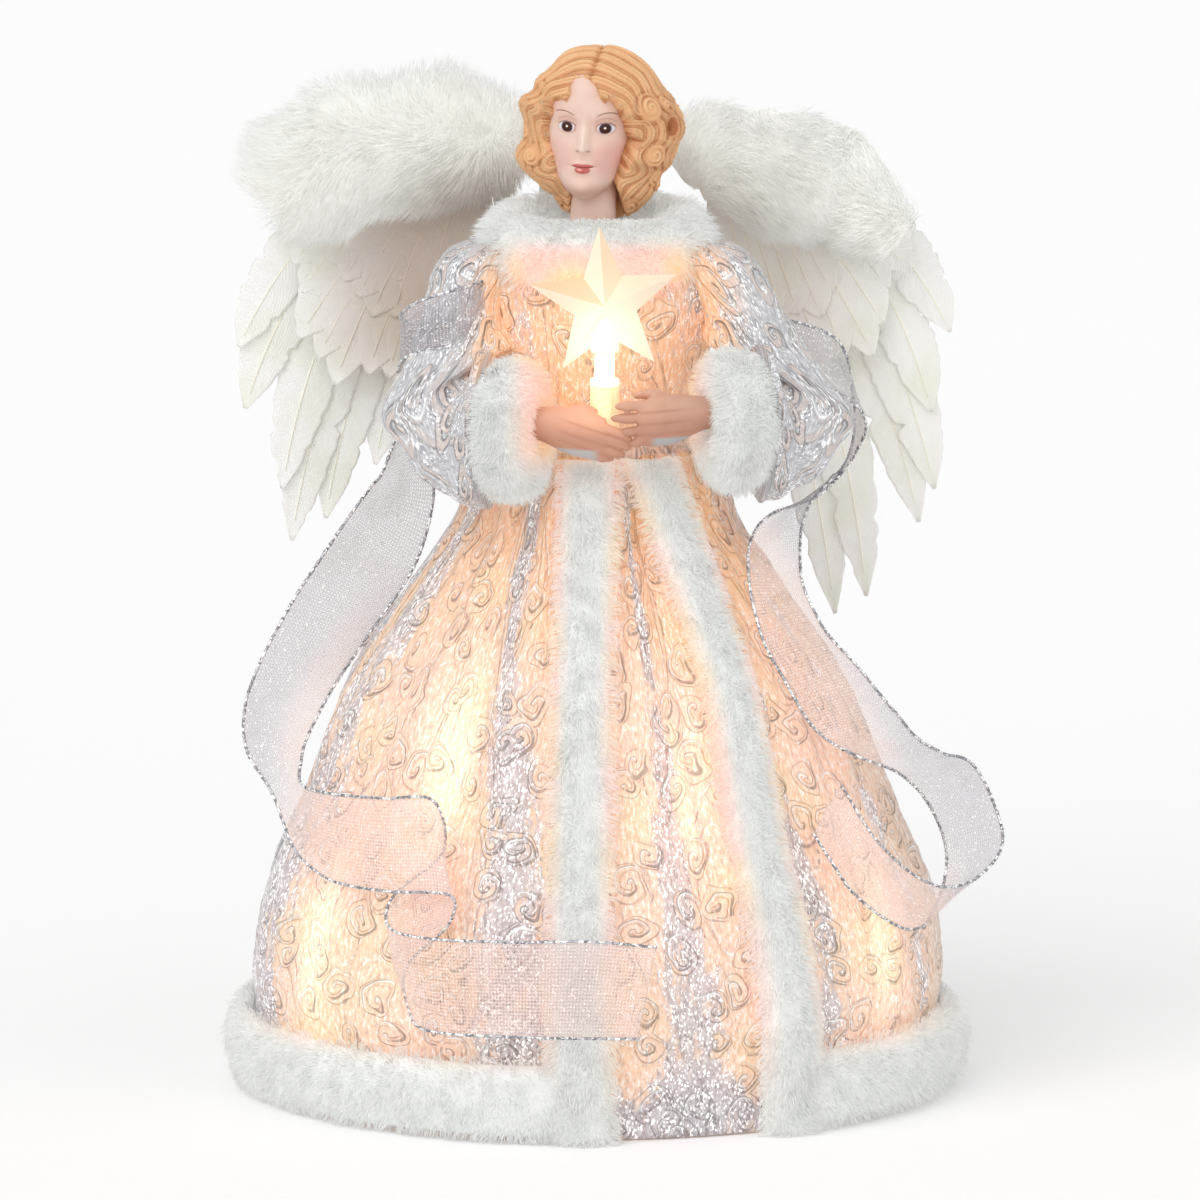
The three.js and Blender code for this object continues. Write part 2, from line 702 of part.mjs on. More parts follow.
/** One wavy lock from the parting over the head and down to a curl. */
function lock(side, order, grow) {
  const share = order / (lockCount - 1);
  const middle = new THREE.Vector3(0, headHalfDepth * 0.36, headHeight - hairHalfHeight * 0.95);
  const startTurn = lerp(8, 120, share);
  const endTurn = lerp(58, 168, share);
  const drop = curlDrop * lerp(1, 0.86, share);
  const steps = 9;
  const points = Array.from({ length: steps + 1 }, (_, i) => {
    const t = i / steps;
    const turn = degrees(lerp(startTurn, endTurn, THREE.MathUtils.smoothstep(t, 0, 0.55)));
    const over = THREE.MathUtils.clamp(t / 0.5, 0, 1) * (Math.PI / 2);
    const out = Math.sin(Math.max(over, 0.25)) * (1.04 - 0.26 * THREE.MathUtils.smoothstep(t, 0.72, 1));
    const wave = 1 + 0.09 * Math.sin(t * 15 + order * 1.9 + side);
    const fall = t < 0.5 ? hairHalfHeight * Math.cos(over) : -drop * ((t - 0.5) / 0.5);
    const across = side * Math.sin(turn) * hairHalfWidth * out * wave;
    const back = -Math.cos(turn) * hairHalfDepth * out * wave;
    return new THREE.Vector3(across, back, fall).add(middle);
  });
  return bar(points, (t) => lockRadius * (1.05 - 0.45 * t) + grow, 5, 7);
}

/** The small ear that shows on the figure's left side. */
function ear(grow) {
  const shell = new THREE.SphereGeometry(1, 8, 6);
  shell.scale(faceHalfWidth * 0.17 + grow, headHalfDepth * 0.17 + grow, headHeight * 0.09 + grow);
  return shell.translate(faceHalfWidth * 0.97, -headHalfDepth * 0.25, headHeight * 0.4);
}

/** The whole head casting in its place, grown by a clearance. */
function headCasting(grow) {
  const locks = [];
  for (const side of [-1, 1]) {
    for (let order = 0; order < lockCount; order += 1) locks.push(lock(side, order, grow));
  }
  const head = join(skull(grow), neck(grow), hairCap(grow), ear(grow), ...locks);
  return head.rotateZ(degrees(headTurn)).translate(0, headCentreY, chinHeight);
}

/** The roll of fur round the neck, grown by a clearance. */
function collarRoll(grow) {
  const columns = 24;
  const sides = 8;
  const rings = Array.from({ length: columns }, (_, i) => {
    const angle = (i / columns) * Math.PI * 2;
    const outward = polar(angle, 1, 0);
    const inset = collarRollRadius * 0.3;
    const rise = collarMiddle + collarRollRadius * 0.12 * Math.cos(2 * angle);
    const thick = grow + collarRollRadius * (1 + 0.05 * Math.sin(i * 2.3));
    const centre = new THREE.Vector3(
      outward.x * (collarHalfWidth - inset), outward.y * (collarHalfDepth - inset), rise);
    const across = outward.multiplyScalar(grow + (thick - grow) * 0.8);
    return ring(centre, across, new THREE.Vector3(0, 0, thick), sides);
  });
  return skin(rings, true);
}

// Arms: sleeves, cuffs, hands and the wires inside

/** Places along one arm; side is -1 for the arm on -X and 1 for the arm on +X. */
function armPlaces(side) {
  const angle = degrees(armAngle);
  const forward = new THREE.Vector3(-side * Math.cos(angle), -Math.sin(angle), 0);
  const cuff = new THREE.Vector3(side * cuffReach + handsShift, -cuffForward, armHeight + side * armStagger);
  const sleeveEnd = cuff.clone().addScaledVector(forward, -cuffWidth / 2 - seatGap);
  const shoulder = new THREE.Vector3(side * shoulderReach, -shoulderForward, shoulderHeight);
  const elbow = new THREE.Vector3(side * elbowReach + elbowShift, -elbowForward, elbowHeight);
  return { side, forward, cuff, sleeveEnd, shoulder, elbow };
}

/** The path of the armature wire from the core to the end of the sleeve. */
function armWirePath({ side, forward, sleeveEnd, shoulder, elbow }) {
  const root = new THREE.Vector3(side * (coreHalfWidth + armWireRadius), 0, shoulder.z - upperArmRadius);
  const bend = new THREE.Vector3((shoulder.x + elbow.x) / 2, shoulder.y, root.z - armWireRadius * 4);
  const before = sleeveEnd.clone().addScaledVector(forward, -sleeveEndHalfDepth);
  return [root, bend, elbow.clone().lerp(before, 0.5), before, sleeveEnd];
}

function sleeve(arm, ...tools) {
  const { side, forward, sleeveEnd, shoulder, elbow } = arm;
  const upper = [[-0.32, 0.5], [-0.2, 0.85], [0.05, 1], [0.4, 1.05], [0.75, 1.12], [1, 1.1], [1.25, 0.7]];
  const upperRings = upper.map(([t, wide], i) => {
    const centre = shoulder.clone().lerp(elbow, t);
    const across = new THREE.Vector3(upperArmRadius * wide, 0, 0);
    const up = new THREE.Vector3(0, upperArmRadius * wide, upperArmRadius * wide * 0.25);
    return ring(centre, across, up, 12, (angle) => 1 + 0.05 * Math.cos(4 * angle + i * 0.9));
  });
  const lower = [[-1.45, 0.3], [-1.2, 0.62], [-0.85, 0.82], [-0.45, 0.95], [-0.12, 1], [0, 0.97]];
  const span = elbow.clone().sub(sleeveEnd).length() * 1.05;
  const sideways = new THREE.Vector3(-forward.y, forward.x, 0);
  const lowerRings = lower.map(([t, wide], i) => {
    const droop = sleeveEndHalfHeight * 0.09 * (1 + t);
    const centre = sleeveEnd.clone().addScaledVector(forward, (t / 1.45) * span).setZ(sleeveEnd.z - droop);
    const across = sideways.clone().multiplyScalar(sleeveEndHalfDepth * (0.25 + 0.75 * wide));
    const up = new THREE.Vector3(0, 0, sleeveEndHalfHeight * wide);
    return ring(centre, across, up, 14, (angle) => 1 + 0.045 * Math.cos(5 * angle + i * 0.7 * side));
  });
  return cut(join(skin(upperRings), skin(lowerRings)), ...tools);
}

/** The thick fur ring at the wrist. */
function cuffRing({ forward, cuff }) {
  const columns = 16;
  const sideways = new THREE.Vector3(-forward.y, forward.x, 0);
  const half = cuffWidth / 2;
  const outerShares = [[-1, 0.72], [-0.72, 0.95], [0, 1], [0.72, 0.95], [1, 0.72]];
  const rings = Array.from({ length: columns }, (_, i) => {
    const angle = (i / columns) * Math.PI * 2;
    const spoke = (deep, tall) => sideways.clone().multiplyScalar(Math.cos(angle) * deep)
      .add(new THREE.Vector3(0, 0, Math.sin(angle) * tall));
    const swell = 1 + 0.03 * Math.sin(i * 2.6);
    const outer = outerShares.map(([along, wide]) => cuff.clone()
      .addScaledVector(forward, along * half)
      .add(spoke(cuffHalfDepth * wide * swell, cuffHalfHeight * wide * swell)));
    const inner = [1, -1].map((along) => cuff.clone()
      .addScaledVector(forward, along * half)
      .add(spoke(cuffBoreRadius, cuffBoreRadius)));
    return [...outer, ...inner];
  });
  return skin(rings, true);
}

/** A hand along +X from the wrist, palm towards +Z, with its thumb on the side given by a sign. */
function handBody(curl, thumbSide) {
  const palmStart = cuffWidth + seatGap;
  const rows = [
    [0, wristRadius, wristRadius * 0.8], [palmStart, wristRadius, wristRadius * 0.75],
    [palmStart + palmLength * 0.4, palmHalfWidth * 0.95, palmHalfThickness],
    [palmStart + palmLength, palmHalfWidth, palmHalfThickness * 0.8],
    [palmStart + palmLength * 1.12, palmHalfWidth * 0.8, palmHalfThickness * 0.45],
  ];
  const palm = skin(rows.map(([along, wide, thick]) => ring(
    new THREE.Vector3(along, 0, 0), new THREE.Vector3(0, wide, 0), new THREE.Vector3(0, 0, thick), 10)));
  const root = palmStart + palmLength;
  const lengthShares = [0.82, 1, 0.96, 0.76];
  const fingers = lengthShares.map((long, i) => {
    const across = palmHalfWidth * (0.72 - 0.48 * i);
    const reach = fingerLength * long;
    const knuckles = [[-0.3, 0], [0.15, 0.02], [0.5, 0.12], [0.8, 0.3], [1, 0.5]];
    const points = knuckles.map(([along, rise]) =>
      new THREE.Vector3(root + along * reach, across * (1 - 0.12 * along), rise * curl * reach));
    return bar(points, (t) => fingerRadius * (1.05 - 0.35 * t ** 2), 6, 4);
  });
  const thumbPath = [[0.1, 0.5, 0], [0.5, 1.05, 0.1], [0.95, 1.32, 0.35], [1.35, 1.3, 0.65]];
  const thumb = bar(thumbPath.map(([along, wide, rise]) => new THREE.Vector3(
    palmStart + palmLength * along, thumbSide * palmHalfWidth * wide, palmHalfWidth * rise)),
  (t) => fingerRadius * (1.25 - 0.4 * t), 6, 4);
  return join(palm, thumb, ...fingers);
}

/** A hand moved to the end of its arm, gripping the socket of the star light. */
function placedHand(arm, hand, tool) {
  const turn = new THREE.Matrix4().makeBasis(
    arm.forward,
    new THREE.Vector3(0, 0, 1).cross(arm.forward).multiplyScalar(hand.palmUp),
    new THREE.Vector3(0, 0, hand.palmUp));
  const body = handBody(hand.curl, hand.thumbSide).rotateX(degrees(hand.roll)).applyMatrix4(turn);
  body.applyMatrix4(new THREE.Matrix4().makeRotationAxis(
    new THREE.Vector3(arm.forward.y, -arm.forward.x, 0), degrees(hand.pitch)));
  const tilt = wristRadius * Math.sin(degrees(Math.abs(hand.pitch)));
  const start = arm.sleeveEnd.clone().addScaledVector(arm.forward, seatGap + tilt);
  body.translate(start.x, start.y, start.z + hand.rise);
  return cut(body, tool);
}

// Star light

const holderTop = holderBottom + holderLength;

function starHolder() {
  const bore = holderRadius - holderWall;
  const floor = holderTop - plugLength - seatGap;
  const profile = [
    [0, holderBottom],
    [holderRadius * 0.8, holderBottom],
    [holderRadius, holderBottom + holderWall],
    [holderRadius, holderTop],
    [bore, holderTop],
    [bore, floor],
    [0, floor],
  ];
  return revolved(profile, 14).translate(starX, starY, 0);
}

function starBulb() {
  const plug = holderRadius - holderWall - seatGap;
  const flangeFoot = holderTop + seatGap;
  const glassFoot = flangeFoot + bulbFlangeThickness;
  const glass = (share) => glassFoot + share * bulbLength;
  const profile = [
    [0, holderTop - plugLength],
    [plug, holderTop - plugLength],
    [plug, flangeFoot],
    [holderRadius, flangeFoot],
    [holderRadius, glassFoot],
    [bulbRadius, glassFoot],
    [bulbRadius, glass(0.72)],
    [bulbRadius * 0.75, glass(0.88)],
    [bulbRadius * 0.3, glass(0.98)],
    [0, glass(1)],
  ];
  return revolved(profile, 14).translate(starX, starY, 0);
}

/** The faceted five-pointed star with a neck that slips over the bulb. */
function starCap() {
  const points = 5;
  const rim = Array.from({ length: points * 2 }, (_, i) => {
    const angle = (i / (points * 2)) * Math.PI * 2 + degrees(starTilt);
    const radius = i % 2 === 0 ? starRadius : starWaistRadius;
    return new THREE.Vector3(-Math.sin(angle) * radius, 0, Math.cos(angle) * radius);
  });
  const peak = starThickness / 2;
  const place = [...rim, new THREE.Vector3(0, -peak, 0), new THREE.Vector3(0, peak, 0)];
  const faces = rim.flatMap((_, i) => {
    const next = (i + 1) % rim.length;
    return [i, next, rim.length, next, i, rim.length + 1];
  });
  const star = new THREE.BufferGeometry().setFromPoints(place);
  star.setIndex(faces);
  const bore = bulbRadius + seatGap;
  const neckRadiusOuter = bore + starNeckWall;
  const neckFoot = -starWaistRadius * 1.5;
  const boreTop = holderTop + bulbFlangeThickness + bulbLength + seatGap * 2 - (holderTop + starCentreRise);
  const body = join(star, drum(neckRadiusOuter, neckFoot, starWaistRadius * 0.1, 14));
  const hollow = drum(bore, neckFoot - cutOverrun, boreTop, 14);
  return cut(body, hollow).translate(starX, starY, holderTop + starCentreRise);
}

function addFigure() {
  const bodiceTool = bodiceHull(seatGap);
  const headTool = headCasting(seatGap);
  const collarTool = collarRoll(seatGap);
  const arms = {
    left: armPlaces(-1),
    right: armPlaces(1),
  };
  const holderTool = drum(holderRadius + seatGap, holderBottom - seatGap, holderTop + bulbLength, 16)
    .translate(starX, starY, 0);
  const hands = {
    left: { palmUp: 1, thumbSide: -1, curl: 0.35, roll: -58, pitch: 1, rise: 0 },
    right: { palmUp: -1, thumbSide: 1, curl: 0.35, roll: -68, pitch: 5, rise: palmHalfThickness * 0.2 },
  };
  const wires = {};
  for (const side of ["left", "right"]) {
    const path = armWirePath(arms[side]);
    wires[side] = bar(path, () => armWireRadius + seatGap, 6, 12);
    piece(`arm_wire_${side}`, bar(path, () => armWireRadius, 6, 12), looks.steel);
  }
  const headPeg = neck(seatGap).rotateZ(degrees(headTurn)).translate(0, headCentreY, chinHeight);
  piece("torso_core", cut(coreHull(0), headPeg), looks.foam);
  const neckHole = drum(neckHoleRadius, coreTop - cutOverrun, bodiceTop + cutOverrun, 18)
    .translate(0, headCentreY, 0);
  const bodice = cut(bodiceHull(0), coreHull(seatGap), neckHole, wires.left, wires.right);
  piece("bodice", bodice, looks.silver);
  piece("head", headCasting(0), looks.head);
  for (const side of ["left", "right"]) {
    piece(`sleeve_${side}`, sleeve(arms[side], bodiceTool, wires[side], collarTool), looks.silver);
    piece(`cuff_${side}`, cuffRing(arms[side]), looks.fur);
    piece(`hand_${side}`, placedHand(arms[side], hands[side], holderTool), looks.resin);
  }
  const collar = cut(collarRoll(0), bodiceTool, headTool);
  piece("fur_collar", collar, looks.fur);
  piece("star_holder", starHolder(), looks.socket);
  piece("star_bulb", starBulb(), looks.lamp);
  piece("star_cap", starCap(), looks.star);
}

// Ribbons

// Each row is a place along the ribbon: for its lower edge and then its upper edge, the angle from
// the front in degrees, the height as a share of the skirt's, and the lift as a share of the width
const leftRibbonShares = [
  [[-75, 1.25, 0.87], [-79, 1.34, 0.72]],
  [[-97, 1.15, 0.95], [-99, 1.25, 0.8]],
  [[-97, 1.03, 1.0], [-105, 1.07, 0.62]],
  [[-92, 1.0, 1.12], [-101, 0.97, 0.34]],
  [[-87, 0.947, 1.27], [-93, 0.86, 0.12]],
  [[-81, 0.811, 1.29], [-87, 0.755, 0.13]],
  [[-76, 0.691, 1.17], [-79, 0.68, 0.16]],
  [[-72, 0.6, 1.02], [-71, 0.614, 0.34]],
  [[-67, 0.525, 0.72], [-67, 0.58, 0.5]],
  [[-61, 0.438, 0.44], [-63, 0.544, 0.57]],
  [[-50, 0.406, 0.3], [-52, 0.544, 0.52]],
  [[-37, 0.404, 0.34], [-40, 0.552, 0.5]],
  [[-24, 0.413, 0.44], [-30, 0.557, 0.55]],
  [[-25, 0.36, 0.2], [-29, 0.47, 0.22]],
  [[-32, 0.285, 0.2], [-36, 0.4, 0.26]],
  [[-30.5, 0.212, 0.26], [-35.4, 0.353, 0.36]],
  [[-24.8, 0.192, 0.42], [-27, 0.342, 0.46]],
  [[-11.4, 0.192, 0.46], [-12, 0.347, 0.5]],
  [[-2.4, 0.192, 0.47], [-1, 0.35, 0.52]],
  [[6.3, 0.19, 0.42], [9.2, 0.34, 0.49]],
];
const rightRibbonShares = [
  [[56, 1.2, 1.55], [62, 1.31, 1.25]],
  [[70, 1.19, 1.86], [78, 1.3, 1.5]],
  [[86, 1.12, 1.78], [93, 1.25, 1.66]],
  [[96, 1.04, 1.5], [99, 1.14, 1.75]],
  [[92, 0.985, 1.0], [99.4, 1.04, 1.5]],
  [[66, 0.965, 0.5], [86, 0.97, 0.86]],
  [[50, 0.902, 0.42], [69.6, 0.885, 0.6]],
  [[45, 0.81, 0.36], [63.3, 0.811, 0.56]],
  [[45, 0.734, 0.4], [64, 0.747, 0.66]],
  [[48, 0.65, 0.42], [67.8, 0.659, 0.8]],
  [[56, 0.6, 0.5], [72, 0.61, 0.84]],
  [[66, 0.56, 0.58], [78, 0.575, 0.94]],
  [[75, 0.5, 0.62], [85, 0.54, 1.1]],
  [[78, 0.41, 0.53], [84.2, 0.43, 1.12]],
  [[72, 0.335, 0.34], [79, 0.375, 0.84]],
  [[60, 0.31, 0.24], [68, 0.37, 0.5]],
  [[48, 0.385, 0.26], [56, 0.455, 0.4]],
  [[42, 0.49, 0.36], [50, 0.56, 0.44]],
];

/** A ribbon with one edge along each column of a table of places. */
function ribbon(rows) {
  const place = ([angle, heightShare, liftShare]) => {
    const above = Math.max(heightShare - 1, 0);
    const height = (heightShare - above) * skirtTop + above * ribbonRise;
    return onSkirt(degrees(angle), height, liftShare * ribbonWidth);
  };
  const lower = new THREE.CatmullRomCurve3(rows.map((row) => place(row[0])));
  const upper = new THREE.CatmullRomCurve3(rows.map((row) => place(row[1])));
  const steps = (rows.length - 1) * 2;
  const strips = 3;
  const along = (t) => Array.from({ length: strips + 1 }, (_, j) =>
    lower.getPoint(t).lerp(upper.getPoint(t), j / strips));
  const step = 1 / steps;
  const sections = [];
  for (let i = 0; i <= steps; i += 1) {
    const [before, here, after] = [Math.max(i - 1, 0), i, Math.min(i + 1, steps)].map((k) => along(k * step));
    const face = here.map((point, j) => {
      const run = after[j].clone().sub(before[j]);
      const width = here[Math.min(j + 1, strips)].clone().sub(here[Math.max(j - 1, 0)]);
      const normal = run.cross(width).normalize().multiplyScalar(ribbonThickness / 2);
      return [point.clone().add(normal), point.clone().sub(normal)];
    });
    sections.push([...face.map((pair) => pair[0]), ...face.map((pair) => pair[1]).reverse()]);
  }
  return skin(sections);
}

function addRibbons() {
  piece("ribbon_left", ribbon(leftRibbonShares), looks.organza);
  piece("ribbon_right", ribbon(rightRibbonShares), looks.organza);
}

// Wings

// Places in a wing, out from its hinge as shares of the reach to the outermost feather and down
// from the wire as shares of the longest drop: root, tip, width share and bow share of a feather
const longFeatherShares = {
  left: [
    { root: [0.42, -0.18], tip: [1, 0.47], width: 0.95, bow: 0.16 },
    { root: [0.39, -0.18], tip: [0.98, 0.67], width: 1, bow: 0.16 },
    { root: [0.35, -0.19], tip: [0.86, 0.93], width: 1, bow: 0.14 },
    { root: [0.31, -0.19], tip: [0.83, 1.1], width: 0.95, bow: 0.12 },
    { root: [0.27, -0.19], tip: [0.72, 1.03], width: 0.95, bow: 0.1 },
    { root: [0.23, -0.19], tip: [0.56, 0.86], width: 0.9, bow: 0.06 },
  ],
  right: [
    { root: [0.42, -0.18], tip: [0.99, 0.42], width: 0.95, bow: 0.16 },
    { root: [0.39, -0.18], tip: [0.93, 0.68], width: 1, bow: 0.16 },
    { root: [0.35, -0.19], tip: [0.94, 0.93], width: 1, bow: 0.14 },
    { root: [0.31, -0.19], tip: [0.89, 1.04], width: 0.95, bow: 0.12 },
    { root: [0.27, -0.19], tip: [0.72, 1.28], width: 0.95, bow: 0.1 },
    { root: [0.23, -0.19], tip: [0.62, 1.34], width: 0.9, bow: 0.06 },
  ],
};
const covertShares = [
  { root: [0.36, -0.19], tip: [0.86, 0.22], width: 1.05, bow: 0.1 },
  { root: [0.3, -0.19], tip: [0.74, 0.44], width: 1.1, bow: 0.08 },
  { root: [0.24, -0.19], tip: [0.58, 0.6], width: 1.1, bow: 0.06 },
  { root: [0.18, -0.19], tip: [0.42, 0.66], width: 1.05, bow: 0.04 },
];
// Share of the length, then share of the full width
const vaneShares = [[0, 0.14], [0.14, 0.3], [0.32, 0.74], [0.55, 1], [0.75, 0.94], [0.9, 0.62], [1, 0.06]];

/** One feather in the plane of the wing, with a raised quill along its middle. */
function feather(side, { root, tip, width, bow }, depth, thick, steps) {
  const reach = wingSpan - wingHingeX;
  const at = ([out, down]) => new THREE.Vector2(side * out * reach, -down * featherDrop);
  const [start, end] = [at(root), at(tip)];
  const run = end.clone().sub(start);
  const normal = new THREE.Vector2(-run.y, run.x).multiplyScalar(side);
  const middle = start.clone().add(end).multiplyScalar(0.5).addScaledVector(normal, bow);
  const path = new THREE.QuadraticBezierCurve(start, middle, end);
  const rings = Array.from({ length: steps + 1 }, (_, i) => {
    const t = i / steps;
    const point = path.getPoint(t);
    const across = path.getTangent(t).rotateAround(new THREE.Vector2(), Math.PI / 2);
    const half = (featherWidth / 2) * width * through(vaneShares, t);
    const quill = Math.min(half * 0.3, thick);
    const rise = featherEdge + (thick - featherEdge) * (1 - 0.8 * t);
    const outline = [[-half, 0], [-quill, 0], [quill, 0], [half, 0], [half, featherEdge], [quill, rise],
      [-quill, rise], [-half, featherEdge]];
    return outline.map(([aside, deep]) =>
      new THREE.Vector3(point.x + across.x * aside, depth + deep, point.y + across.y * aside));
  });
  return skin(rings);
}

/** The wire of a wing: a hinge leg in the sleeve of the back plate, then out along the top. */
function wingWire(side) {
  const reach = wingSpan - wingHingeX;
  const leg = hingeSleeveLength / 2 + wingWireRadius * 2;
  const bendRadius = wingWireRadius * 4;
  const points = [
    new THREE.Vector3(0, 0, -leg),
    new THREE.Vector3(0, 0, 0),
    new THREE.Vector3(0, 0, leg),
    new THREE.Vector3(side * bendRadius * 0.6, 0, leg + bendRadius),
    new THREE.Vector3(side * reach * 0.25, 0, leg + bendRadius * 1.6),
    new THREE.Vector3(side * reach * 0.55, 0, leg + bendRadius),
    new THREE.Vector3(side * reach * 0.86, 0, -leg * 0.6),
  ];
  return bar(points, () => wingWireRadius, 6, 16);
}

/** The soft roll of short down along the top of a wing. */
function fluff(side, rows) {
  const reach = wingSpan - wingHingeX;
  const rings = rows.map(([out, rise, wide], i) => {
    const centre = new THREE.Vector3(side * out * reach, 0, rise * featherDrop);
    const next = rows[Math.min(i + 1, rows.length - 1)];
    const last = rows[Math.max(i - 1, 0)];
    const lean = new THREE.Vector2((next[0] - last[0]) * reach * side, (next[1] - last[1]) * featherDrop);
    lean.normalize().rotateAround(new THREE.Vector2(), Math.PI / 2);
    const up = new THREE.Vector3(lean.x, 0, lean.y).multiplyScalar(fluffRadius * wide);
    const across = new THREE.Vector3(0, fluffHalfDepth * (0.35 + 0.65 * wide), 0);
    return ring(centre, across, up, 12, (angle) => 1 + 0.05 * Math.cos(3 * angle + i * 1.4));
  });
  return skin(rings);
}

const fluffShares = {
  left: [[0.08, 0.12, 0.4], [0.14, 0.16, 0.75], [0.28, 0.19, 0.9], [0.45, 0.19, 1],
    [0.62, 0.17, 1.05], [0.78, 0.12, 1], [0.9, 0.04, 0.8], [0.96, -0.01, 0.45]],
  right: [[0.12, 0.1, 0.35], [0.18, 0.13, 0.65], [0.32, 0.13, 0.82], [0.46, 0.11, 0.88],
    [0.6, 0.08, 0.86], [0.72, 0.02, 0.76], [0.8, -0.05, 0.58], [0.85, -0.1, 0.32]],
};

function addWing(name, side) {
  const wing = new THREE.Group();
  wing.position.set(side * wingHingeX, wingHingeY, wingHeight);
  angel.add(wing);
  const wire = wingWireRadius + seatGap;
  const pitch = featherThickness + seatGap;
  piece(`wing_wire_${name}`, wingWire(side), looks.steel, wing);
  longFeatherShares[name].forEach((row, i) => {
    const vane = feather(side, row, wire + i * pitch, featherThickness, 7);
    piece(`feather_${name}_${i + 1}`, vane, looks.feather, wing);
  });
  const covertDepth = -wire - covertThickness - featherEdge * covertShares.length / 2;
  const coverts = covertShares.map((row, i) =>
    feather(side, row, covertDepth + i * featherEdge * 0.5, covertThickness, 5));
  piece(`wing_coverts_${name}`, join(...coverts), looks.feather, wing);
  const down = fluff(side, fluffShares[name]);
  down.computeBoundingBox();
  down.translate(0, covertDepth - seatGap - down.boundingBox.max.y, 0);
  piece(`wing_fluff_${name}`, down, looks.feather, wing);
}

/** The plate on the back of the bodice, with a rolled sleeve for the leg of each wing wire. */
function backPlate(bodiceTool) {
  const sleeveRadius = wingWireRadius + seatGap + hingeSleeveWall;
  const width = (wingHingeX + sleeveRadius) * 2;
  const plate = new THREE.BoxGeometry(width, plateThickness, plateHeight);
  plate.translate(0, wingHingeY, wingHeight - plateHeight / 2 + hingeSleeveLength / 2);
  const foot = new THREE.BoxGeometry(coreHalfWidth, wingHingeY, plateThickness * 4);
  foot.translate(0, wingHingeY / 2, wingHeight - plateHeight + hingeSleeveLength / 2 + plateThickness * 2);
  const sleeves = [-1, 1].map((side) => drum(sleeveRadius, -hingeSleeveLength / 2, hingeSleeveLength / 2, 14)
    .translate(side * wingHingeX, wingHingeY, wingHeight));
  const bores = [-1, 1].map((side) => drum(
    wingWireRadius + seatGap, -hingeSleeveLength, hingeSleeveLength, 12)
    .translate(side * wingHingeX, wingHingeY, wingHeight));
  return cut(join(plate, foot, ...sleeves), bodiceTool, ...bores);
}

function addWings() {
  piece("wing_back_plate", backPlate(bodiceHull(seatGap)), looks.tube);
  addWing("left", -1);
  addWing("right", 1);
}

addCone();
addSkirt();
addFigure();
addRibbons();
addWings();

export default angel;
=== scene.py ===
import json
import logging
import math
from collections.abc import Callable, Mapping, Sequence
from dataclasses import dataclass, field
from enum import Enum

import bpy
import numpy as np
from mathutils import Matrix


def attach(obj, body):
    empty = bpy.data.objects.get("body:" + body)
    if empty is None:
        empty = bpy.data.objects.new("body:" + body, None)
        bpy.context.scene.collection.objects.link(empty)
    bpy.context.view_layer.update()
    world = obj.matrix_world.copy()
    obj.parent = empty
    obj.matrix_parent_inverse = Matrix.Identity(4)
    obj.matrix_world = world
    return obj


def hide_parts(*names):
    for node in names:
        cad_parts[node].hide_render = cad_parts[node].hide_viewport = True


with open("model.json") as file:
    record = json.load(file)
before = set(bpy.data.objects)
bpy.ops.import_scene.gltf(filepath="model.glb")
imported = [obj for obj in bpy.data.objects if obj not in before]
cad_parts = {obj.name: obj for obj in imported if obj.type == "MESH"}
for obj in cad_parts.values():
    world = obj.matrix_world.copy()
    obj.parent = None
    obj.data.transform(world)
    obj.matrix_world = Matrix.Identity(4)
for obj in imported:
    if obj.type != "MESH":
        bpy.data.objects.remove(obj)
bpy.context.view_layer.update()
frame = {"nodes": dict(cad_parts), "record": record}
report = logging.getLogger("tree_topper")

Colour = tuple[float, float, float, float]
METRES = 0.001  # every shape is worked out in millimetres
MILLIMETRES = (1000.0, 1000.0, 1000.0)


# Numbers, curves and places


def srgb(red: float, green: float, blue: float) -> Colour:
    """A screen colour of 0 to 255 as linear light.

    Args:
        red: Red of 0 to 255.
        green: Green.
        blue: Blue.

    Returns:
        The colour, with an alpha of 1.
    """
    def linear(part: float) -> float:
        """One channel, by the usual screen curve."""
        part /= 255
        return part / 12.92 if part <= 0.04045 else ((part + 0.055) / 1.055) ** 2.4
    return (linear(red), linear(green), linear(blue), 1.0)


def soft_step(low: float, high: float, value: np.ndarray) -> np.ndarray:
    """0 below low, 1 above high, and 3t^2 - 2t^3 between them."""
    share = np.clip((value - low) / (high - low), 0, 1)
    return share * share * (3 - 2 * share)


def bell(away: np.ndarray, spread: float) -> np.ndarray:
    """1 at the middle, falling as e to the minus square of the distance over the spread."""
    return np.exp(-((away / spread) ** 2))


def lerp(first: np.ndarray | float, last: np.ndarray | float, share: np.ndarray | float) -> np.ndarray:
    """A straight change from first to last."""
    return first + (last - first) * share


